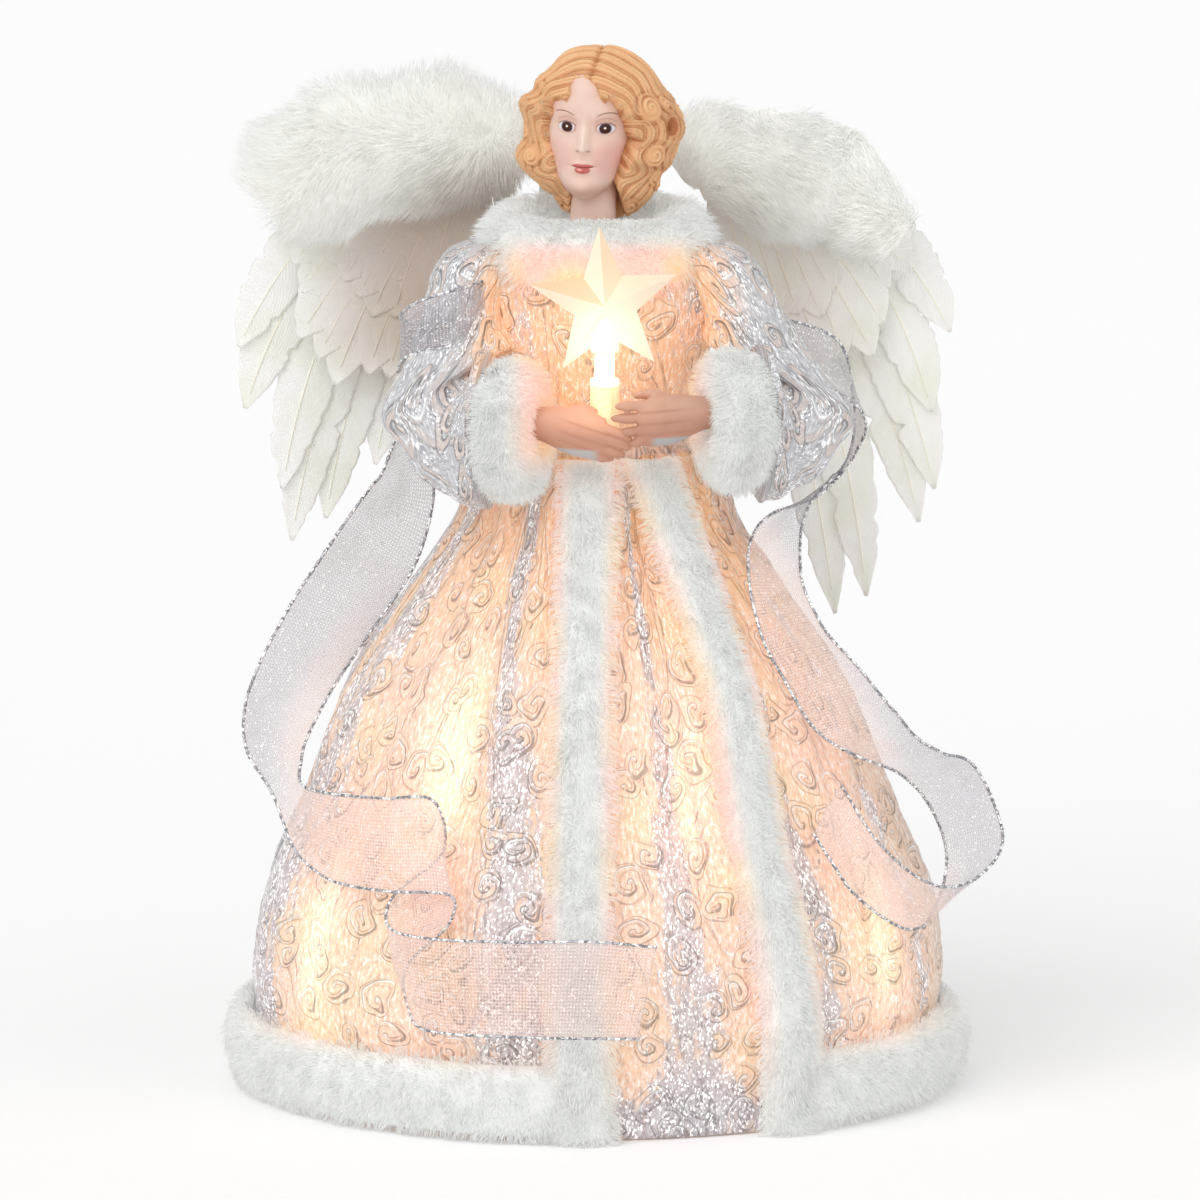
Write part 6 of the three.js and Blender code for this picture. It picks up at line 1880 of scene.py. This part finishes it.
def split_triangle(corner: np.ndarray, split: int) -> tuple[np.ndarray, np.ndarray]:
    """A flat triangle cut into smaller ones: points at whole shares of its sides.

    Args:
        corner: Its three corners.
        split: Parts that a side is cut into.

    Returns:
        The points and the faces.
    """
    u, v = np.meshgrid(np.arange(split + 1), np.arange(split + 1), indexing="ij")
    keep = u + v <= split
    index = np.full(u.shape, -1)
    index[keep] = np.arange(keep.sum())
    a, b = u[keep][:, None] / split, v[keep][:, None] / split
    points = corner[0] * (1 - a - b) + corner[1] * a + corner[2] * b
    low = u[:-1, :-1] + v[:-1, :-1] < split
    first = np.stack([index[:-1, :-1][low], index[1:, :-1][low], index[:-1, 1:][low]], -1)
    high = u[:-1, :-1] + v[:-1, :-1] < split - 1
    second = np.stack([index[1:, :-1][high], index[1:, 1:][high], index[:-1, 1:][high]], -1)
    return points, np.concatenate([first, second])


@dataclass
class Ribbons:
    """The two wired organza ribbons that swirl round the robe."""

    wardrobe: Wardrobe
    width: float = 25.4

    def ribbon(self, name: str, rows: Sequence[Sequence[Sequence[float]]],
               start: Sequence[Sequence[Sequence[float]]] = ()) -> None:
        """A sheet between two curves off the robe, with a slight wave across, and a wired edge on each side.

        Args:
            name: The CAD node's name.
            rows: For each row, the angle, height share and lift share of both edges.
            start: Both edges' places in millimetres for rows ahead of those, where it crosses the arm.
        """
        table = np.array(rows, float)
        places = DRAPE.place(table[..., 0], table[..., 1] * DRAPE.top, table[..., 2] * self.width)
        places = np.concatenate([np.array(start, float).reshape(-1, 2, 3), places])
        keys, steps = np.arange(len(places))[:, None], 180
        t = np.linspace(0, len(places) - 1, steps)
        lower, upper = (through(np.hstack([keys, places[:, edge]]), t) for edge in (0, 1))
        share = np.linspace(0, 1, 15)
        face = lerp(lower[:, None], upper[:, None], share[:, None])
        gap = np.linalg.norm(upper - lower, axis=1)
        run = np.cumsum(np.append(0, np.linalg.norm(np.diff((lower + upper) / 2, axis=0), axis=1)))[:, None]
        belly = np.sin(share * np.pi) * 0.9 * np.sin(run / 14)
        face = face + grid_normals(face) * (belly + 0.5 * ripple(face, 9.0, 81))[..., None]
        form = cloth_shell(face, 0.35, stack(run, share * self.width))
        x, y, z = form.points.T
        turn = np.degrees(np.arctan2(x, -y))
        glow = np.clip(DRAPE.glow(turn, z), 0, 1) * soft_step(24, 9, np.hypot(x, y) - DRAPE.radius(turn, z))
        sheet = Sculpture(name + "_sheet").add(form, glow=glow).build(self.wardrobe, Finish.ORGANZA, [name])
        edges, many = Sculpture(name + "_edges"), steps * 4
        beads = 0.44 * (1 + 0.25 * np.sin(np.arange(many) * 1.9))
        rows = np.arange(steps)[:, None]
        for column in (0, -1):
            path = through(np.hstack([rows, face[:, column]]), np.linspace(0, steps - 1, many))
            edges.add(cord(path, beads, 6, (0.31, 0.52, 0.8)))
        piece = edges.build(self.wardrobe, Finish.ORGANZA, looks=[self.wardrobe.beads])
        report.info("%s: %.0f mm long, %.1f mm wide on average", name, run[-1, 0], gap.mean())

    def build(self) -> None:
        """Makes both ribbons."""
        left = [
            [[-97, 1.15, 0.95], [-99, 1.25, 0.8]],
            [[-97, 1.03, 1], [-105, 1.07, 0.62]], [[-92, 1, 1.12], [-101, 0.97, 0.34]],
            [[-87, 0.947, 1.27], [-93, 0.86, 0.12]], [[-81, 0.811, 1.29], [-87, 0.755, 0.13]],
            [[-76, 0.691, 1.17], [-79, 0.68, 0.16]], [[-72, 0.6, 1.02], [-71, 0.614, 0.34]],
            [[-67, 0.525, 0.72], [-67, 0.58, 0.5]], [[-61, 0.438, 0.44], [-63, 0.544, 0.57]],
            [[-50, 0.406, 0.3], [-52, 0.544, 0.52]], [[-37, 0.404, 0.34], [-40, 0.552, 0.5]],
            [[-24, 0.413, 0.44], [-30, 0.557, 0.55]], [[-25, 0.36, 0.2], [-29, 0.47, 0.22]],
            [[-32, 0.285, 0.2], [-36, 0.4, 0.26]], [[-30.5, 0.212, 0.26], [-35.4, 0.353, 0.36]],
            [[-24.8, 0.192, 0.42], [-27, 0.342, 0.46]], [[-11.4, 0.192, 0.46], [-12, 0.347, 0.5]],
            [[-2.4, 0.192, 0.47], [-1, 0.35, 0.52]], [[6.3, 0.19, 0.42], [9.2, 0.34, 0.49]],
        ]
        right = [
            [[56, 1.2, 1.55], [62, 1.31, 1.25]], [[70, 1.19, 1.86], [78, 1.3, 1.5]],
            [[86, 1.12, 1.78], [93, 1.25, 1.66]], [[96, 1.04, 1.5], [99, 1.14, 1.75]],
            [[92, 0.985, 1], [99.4, 1.04, 1.5]], [[66, 0.965, 0.5], [86, 0.97, 0.86]],
            [[50, 0.902, 0.42], [69.6, 0.885, 0.6]], [[45, 0.81, 0.36], [63.3, 0.811, 0.56]],
            [[45, 0.734, 0.4], [64, 0.747, 0.66]], [[48, 0.65, 0.42], [67.8, 0.659, 0.8]],
            [[56, 0.6, 0.5], [72, 0.61, 0.84]], [[66, 0.56, 0.58], [78, 0.575, 0.94]],
            [[75, 0.5, 0.62], [85, 0.54, 1.1]], [[78, 0.41, 0.53], [84.2, 0.43, 1.12]],
            [[72, 0.335, 0.34], [79, 0.375, 0.84]], [[60, 0.31, 0.24], [68, 0.37, 0.5]],
            [[48, 0.385, 0.26], [56, 0.455, 0.4]], [[42, 0.49, 0.36], [50, 0.56, 0.44]],
        ]
        over_arm = [[[-29, -10, 224.5], [-29, -10, 239]], [[-34, -23.5, 222.5], [-34.5, -20, 237.5]],
                    [[-42, -27.5, 220.5], [-42.5, -25, 236]], [[-51.5, -22.5, 218], [-51.5, -19.5, 232]],
                    [[-57.5, -9, 211], [-56, -7, 225]]]
        self.ribbon("ribbon_left", left, over_arm)
        self.ribbon("ribbon_right", right)


@dataclass
class Wing:
    """One feather wing on its wire."""

    wardrobe: Wardrobe
    side: Side
    hinge: tuple[float, float, float] = (14.0, 39.0, 252.0)
    reach: float = 90.0
    drop: float = 92.0
    feather_width: float = 17.0

    def __post_init__(self) -> None:
        """Names the wing's body, and sets its shade and its table of feathers."""
        left = self.side is Side.LEFT
        self.body = "wing_l" if left else "wing_r"
        self.shade = 0.85 if left else 0.4
        roots = [(0.42, -0.18), (0.39, -0.18), (0.35, -0.19), (0.31, -0.19), (0.27, -0.19), (0.23, -0.19)]
        tips = {
            Side.LEFT: [(1, 0.47), (0.98, 0.67), (0.86, 0.93), (0.83, 1.1), (0.72, 1.03), (0.56, 0.86)],
            Side.RIGHT: [(0.99, 0.42), (0.93, 0.68), (0.94, 0.93), (0.89, 1.04), (0.72, 1.28), (0.62, 1.34)],
        }[self.side]
        widths = [0.95, 1, 1, 0.95, 0.95, 0.9]
        bows = [0.16, 0.16, 0.14, 0.12, 0.1, 0.06]
        self.long = list(zip(roots, tips, widths, bows))

    def feather(self, root: Sequence[float], tip: Sequence[float], width: float, bow: float, depth: float,
                seed: int, cup: float, rows: int = 64, across: int = 17) -> tuple[Form, Form]:
        """A vane and its quill: the vane's width follows a table along a bowed path, split at its edges.

        Args:
            root: Start, as shares of the reach outwards and of the drop downwards.
            tip: End, in the same shares.
            width: Share of the full feather width.
            bow: How far the path bows outwards, as a share of its length.
            depth: Distance behind the hinge plane.
            seed: Seed of the splits.
            cup: How far the vane's edges curl back, in millimetres.
            rows: Rows along the vane.
            across: Columns across it.

        Returns:
            The vane and the quill.
        """
        s = self.side.value
        hinge = np.array([s * self.hinge[0], self.hinge[1], self.hinge[2]])
        start, end = np.array([root, tip]) * [s * self.reach, -self.drop]
        run = end - start
        middle = (start + end) / 2 + np.array([-run[1], run[0]]) * s * bow
        t = np.linspace(0, 1, rows)[:, None]
        path = (1 - t) ** 2 * start + 2 * t * (1 - t) * middle + t**2 * end
        ahead = unit((1 - t) * (middle - start) + t * (end - middle))
        aside = np.stack([-ahead[:, 1], ahead[:, 0]], -1)
        vane = [[0, 0.14], [0.14, 0.3], [0.32, 0.74], [0.55, 1], [0.75, 0.94], [0.9, 0.62], [1, 0.06]]
        half = self.feather_width / 2 * width * through(vane, t)
        random = np.random.default_rng(seed)
        edge = np.ones((rows, 2))
        for column in range(2):
            for at in random.random(5) * 0.7 + 0.25:
                edge[:, column] -= (0.1 + 0.25 * random.random()) * bell(t[:, 0] - at, 0.010)
            edge[:, column] += 0.035 * random.normal(size=rows) * soft_step(0.2, 0.4, t[:, 0])
        part = np.linspace(-1, 1, across)
        wide = np.where(part < 0, edge[:, :1], edge[:, 1:]) * half * part
        back = depth + cup * part**2 * half / 8 + 0.25 * np.sin(t * 9 + part * 2)
        swept = np.abs(part) ** 1.5 * 2.2 * soft_step(0.1, 0.5, 1 - t)
        plane = path[:, None] + aside[:, None] * wide[..., None] + ahead[:, None] * swept[..., None]
        form = cloth_shell(hinge + stack(plane[..., 0], back, plane[..., 1]), 0.3,
                           stack(wide, t * np.linalg.norm(run)))
        # painted shade towards the root of the vane
        form.values["root"] = np.tile((1 - soft_step(0.0, 0.5, t) + 0 * wide).reshape(-1), 2)
        shaft = slice(rows - 3)
        spine = hinge + stack(path[shaft, 0], depth - 0.15, path[shaft, 1])
        quill = cord(spine, 0.62 * (1 - 0.82 * t[shaft, 0]), 8, (0, 1, 0))
        quill.values["quill"] = np.ones(len(quill.points))
        quill.cloth = np.zeros((len(quill.points), 2))
        # painted shade on the feathers of the inner wing, by the wing's share of shade
        for shape in (form, quill):
            x, _, z = shape.points.T
            shape.values["near"] = self.shade * soft_step(94, 52, np.abs(x)) * soft_step(188, 216, z)
        return form, quill

    def long_feathers(self) -> None:
        """The long flight feathers, one piece for each."""
        for n, (root, tip, width, bow) in enumerate(self.long):
            seed = 100 + n + 20 * self.side.value
            vane, quill = self.feather(root, tip, width, bow, 1.9 + n * 1.5, seed, 0.7)
            name = f"feather_{self.side.word}_{n + 1}"
            Sculpture(name + "_vane").add(vane).add(quill).build(
                self.wardrobe, Finish.FEATHER, [name], self.body)

    def coverts(self) -> None:
        """The shorter feathers over the roots of the long ones, in two fanned rows."""
        name = f"wing_coverts_{self.side.word}"
        sculpture = Sculpture(name + "_vanes")
        random = np.random.default_rng(200 + self.side.value)
        table = [[0, 0.36, -0.19, 0.86, 0.22], [1, 0.3, -0.19, 0.74, 0.44], [2, 0.24, -0.19, 0.58, 0.6],
                 [3, 0.18, -0.19, 0.42, 0.66]]
        places = through(table, np.linspace(0, 3, 9))
        roots, tips = places[:, :2], places[:, 2:]
        for row, (length, front) in enumerate(((1.0, -1.9), (0.72, -2.7))):
            for n in range(9):
                root = roots[n] + random.normal(size=2) * 0.012
                tip = lerp(roots[n], tips[n], length * (0.92 + 0.16 * random.random()))
                vane, quill = self.feather(root, tip, 1.0 + 0.15 * random.random(), 0.07, front - 0.12 * n,
                                           300 + n + row * 20, 0.5, 44, 13)
                sculpture.add(vane).add(quill)
        sculpture.build(self.wardrobe, Finish.FEATHER, [name], self.body)

    def fluff(self) -> None:
        """The roll of short down along the top: a lumpy core and long loose strands that sweep outwards."""
        s = self.side.value
        # distance outwards, height and size of the roll, as shares
        rows = {
            Side.LEFT: [[0.08, 0.12, 0.4], [0.14, 0.16, 0.75], [0.28, 0.19, 0.9], [0.45, 0.19, 1],
                        [0.62, 0.17, 1.05], [0.78, 0.12, 1], [0.9, 0.04, 0.8], [0.96, -0.01, 0.45]],
            Side.RIGHT: [[0.12, 0.1, 0.35], [0.18, 0.13, 0.65], [0.32, 0.13, 0.82], [0.46, 0.11, 0.88],
                         [0.6, 0.08, 0.86], [0.73, 0.03, 0.76], [0.84, -0.04, 0.62], [0.93, -0.1, 0.34]],
        }[self.side]
        out, rise, size = through([[n / 7, *row] for n, row in enumerate(rows)], np.linspace(0, 1, 44)).T
        inset = 0.93 if self.side is Side.LEFT else 0.9
        centre = stack(s * (self.hinge[0] + out * self.reach * inset), 27.0,
                       self.hinge[2] + rise * self.drop + 1.5)
        ahead = unit(np.gradient(centre, axis=0))
        up = stack(-ahead[:, 2] * s, 0, ahead[:, 0] * s)
        size = size[:, None, None]
        arms = spokes(circle(36), up[:, None] * 14.5 * size, np.array([0, 6.0, 0]) * (0.35 + 0.65 * size))
        points = centre[:, None] + arms
        lumps = 2.6 * ripple(points, 15.0, 91) + 1.2 * ripple(points, 6.0, 92)
        points = points + unit(arms) * lumps[..., None]
        core = closed_tube(points)
        core.values["tip"] = np.full(len(core.points), 0.55)
        sweep = ahead[:, None] * 0.85 - 0.35 * UP + 0 * points
        swirl = np.stack([ripple(points, 26.0, 95 + n) for n in range(3)], -1) * [1.0, 0.3, 1.0]
        coat = pelt(points, unit(arms), 16500, 9.5, 0.15, sweep + swirl * 1.8, 97 + s, True, 0.3, 14.0)
        name = f"wing_fluff_{self.side.word}"
        sculpture = Sculpture(name + "_down")
        for form in (core, coat):
            x, _, z = form.points.T
            low = soft_step(24, -6, z - 252) * soft_step(70, 30, np.abs(x))
            shade = low * (self.shade + 0.3 * soft_step(1, 0, form.values["tip"]))
            sculpture.add(form, shade=np.clip(shade, 0, 1))
        sculpture.build(self.wardrobe, Finish.DOWN, [name], self.body)

    def build(self) -> None:
        """Makes the wing's pieces."""
        self.long_feathers()
        self.coverts()
        self.fluff()


@dataclass
class Studio:
    """The floor, the soft light and the camera at the photograph's angle."""

    elevation: float = 10.0
    aim: tuple[float, float, float] = (1.16, 0.0, 141.3)
    frame_width: float = 348.0
    distance: float = 8000.0

    @staticmethod
    def floor() -> None:
        """A wide pale floor that keeps the object's shadow."""
        graph = Graph("studio_floor")
        cloud = graph.noise(graph.body_place(), 900.0, 1.0)
        colour = graph.coats(srgb(250, 250, 250), (cloud, srgb(252, 252, 252)))
        material = graph.finish(Base_Color=colour, Roughness=0.9, Specular_IOR_Level=0.1,
                                Emission_Color=colour, Emission_Strength=0.09)
        line = np.linspace(-7000, 7000, 9)
        points = stack(*np.meshgrid(line, line), -0.05).reshape(-1, 3)
        mesh = bpy.data.meshes.new("studio_floor")
        mesh.from_pydata((points * METRES).tolist(), [], mesh_rows(9, 9).tolist())
        mesh.materials.append(material)
        floor = bpy.data.objects.new("studio_floor", mesh)
        bpy.context.scene.collection.objects.link(floor)

    @staticmethod
    def light() -> None:
        """A plain pale world, white where the camera or a gloss sees it, a broad lamp and a weaker one."""
        scene = bpy.context.scene
        scene.world = bpy.data.worlds.new("studio")
        graph = Graph("studio", scene.world)
        camera, gloss, glass = (graph.signal("ShaderNodeLightPath", {}, {}, f"Is {ray} Ray")
                                for ray in ("Camera", "Glossy", "Transmission"))
        plain, white = (graph.signal("ShaderNodeBackground", {}, {0: (1, 1, 1, 1), 1: strength})
                        for strength in (0.62, 1.0))
        seen = camera.larger(gloss).larger(glass)
        shown = graph.signal("ShaderNodeMixShader", {}, {0: seen, 1: plain, 2: white})
        graph.node("ShaderNodeOutputWorld", {}, {0: shown})
        for name, strength, angle, turn in (("key", 1.15, 50, (48, 0, -32)), ("fill", 0.35, 70, (62, 0, 48))):
            lamp = bpy.data.lights.new(name, "SUN")
            lamp.energy = strength
            lamp.angle = math.radians(angle)
            holder = bpy.data.objects.new(name, lamp)
            holder.rotation_euler = tuple(math.radians(part) for part in turn)
            scene.collection.objects.link(holder)

    def camera(self) -> None:
        """A long lens in front of the figure and a little above it."""
        scene = bpy.context.scene
        lens = bpy.data.cameras.new("photo_camera")
        lens.sensor_width = 36.0
        lens.lens = 36.0 * self.distance / self.frame_width
        lens.clip_end = 100.0
        holder = bpy.data.objects.new("photo_camera", lens)
        tilt = math.radians(self.elevation)
        holder.location = (self.aim[0] * METRES, (self.aim[1] - self.distance * math.cos(tilt)) * METRES,
                           (self.aim[2] + self.distance * math.sin(tilt)) * METRES)
        holder.rotation_euler = (math.pi / 2 - tilt, 0, 0)
        scene.collection.objects.link(holder)
        scene.camera = holder
        scene.view_settings.view_transform = "Standard"

    def build(self) -> None:
        """Sets up the studio."""
        self.floor()
        self.light()
        self.camera()


def main() -> None:
    """Builds the sub-assemblies in order."""
    logging.basicConfig(level=logging.INFO, format="%(name)s: %(message)s")
    Studio().build()
    wardrobe = Wardrobe()
    wardrobe.dress_frame()
    Robe(wardrobe).build()
    Bust(wardrobe).build()
    for side in Side:
        Arm(wardrobe, side).build()
        Wing(wardrobe, side).build()
    StarLight(wardrobe).build()
    Ribbons(wardrobe).build()


if __name__ == "__main__":
    main()
